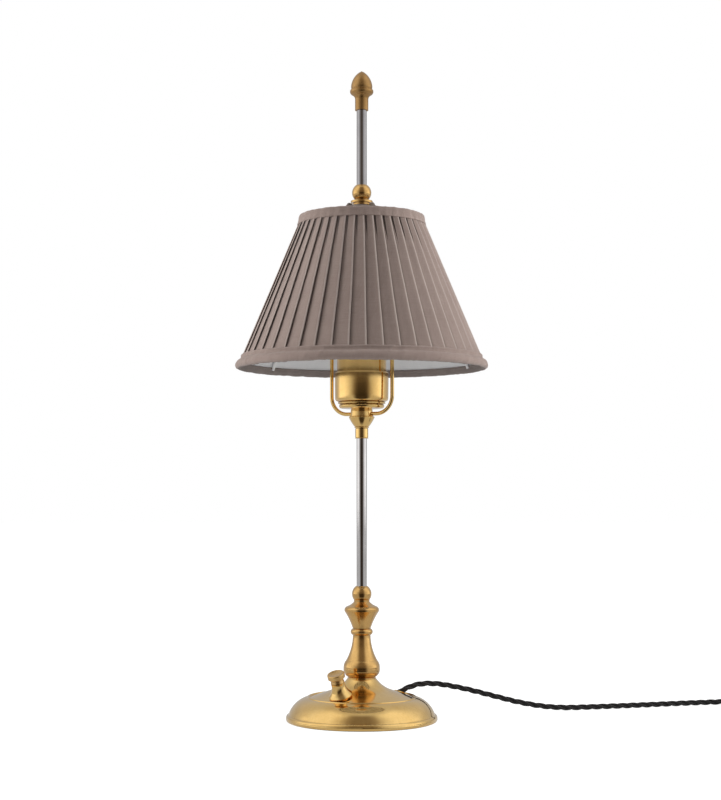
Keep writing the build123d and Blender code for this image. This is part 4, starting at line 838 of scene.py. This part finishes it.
CEILING = (0.56, 0.56, 0.57, 1)
FILL_SHARE = 0.5  # how much of the tent's light reaches matt surfaces


def round_ramp(tree, turn, stops):
    """The tent's colour at an azimuth, from its grey levels."""
    return ramp(tree, turn, [((azimuth + 180) / 360, warm(level)) for azimuth, level in stops])


def studio_world():
    """A pale tent: bright soft walls left and right, a dark opening round the camera, a duller ceiling."""
    world = bpy.data.worlds.new("studio")
    world.use_nodes = True
    bpy.context.scene.world = world
    tree = world.node_tree
    background = tree.nodes["Background"]
    way = add(tree, "SeparateXYZ", {"Vector": add(tree, "TexCoord").outputs["Generated"]})
    ahead = math_node(tree, "MULTIPLY", way.outputs["Y"], -1.0)
    angle = math_node(tree, "ARCTAN2", way.outputs["X"], ahead)
    half = math.pi
    turn = add(tree, "MapRange", {"Value": angle, "From Min": -half, "From Max": half}).outputs["Result"]
    level = round_ramp(tree, turn, WALLS_LOW)
    raised = round_ramp(tree, turn, WALLS_RAISED)
    over = round_ramp(tree, turn, WALLS_HIGH)
    height = way.outputs["Z"]
    lifted = step(tree, height, 0.015, 0.085)
    upward = step(tree, height, 0.26, 0.50)
    ceiling = step(tree, height, 0.86, 0.98)
    sides = add(tree, "MixRGB", {"Fac": lifted, "Color1": level, "Color2": raised}).outputs[0]
    above = add(tree, "MixRGB", {"Fac": upward, "Color1": sides, "Color2": over}).outputs[0]
    tent = add(tree, "MixRGB", {"Fac": ceiling, "Color1": above, "Color2": CEILING}).outputs[0]
    fill = add(tree, "MixRGB", {"Fac": 1.0, "Color1": tent, "Color2": (*grey(FILL_SHARE), 1)},
               blend_type="MULTIPLY").outputs[0]
    path = add(tree, "LightPath").outputs
    soft = add(tree, "MixRGB", {"Fac": path["Is Diffuse Ray"], "Color1": tent, "Color2": fill}).outputs[0]
    shown = add(tree, "MixRGB", {"Fac": path["Is Camera Ray"], "Color1": soft, "Color2": WHITE})
    tree.links.new(shown.outputs[0], background.inputs["Color"])
    background.inputs["Strength"].default_value = 1.0


def area_lamp(name, where, aim, size, power):
    """A rectangular lamp of so many watts that only lights: neither the camera nor the metal sees it."""
    data = bpy.data.lights.new(name, "AREA")
    data.shape = "RECTANGLE"
    data.size, data.size_y = size
    data.energy = power
    lamp = bpy.data.objects.new(name, data)
    lamp.location = where
    lamp.rotation_mode = "QUATERNION"
    lamp.rotation_quaternion = (Vector(aim) - Vector(where)).to_track_quat("-Z", "Y")
    lamp.visible_camera = False
    lamp.visible_glossy = False
    bpy.context.scene.collection.objects.link(lamp)


stage_floor()
studio_world()
area_lamp("softbox_left", where=(-2.3, 0.0, 0.9), aim=(0, 0, 0.3), size=(1.6, 1.8), power=44)
area_lamp("softbox_right", where=(2.3, 0.0, 0.9), aim=(0, 0, 0.3), size=(1.6, 1.8), power=47)
area_lamp("softbox_top", where=(0.2, 0.3, 2.4), aim=(0, 0, 0.2), size=(1.6, 1.2), power=9)
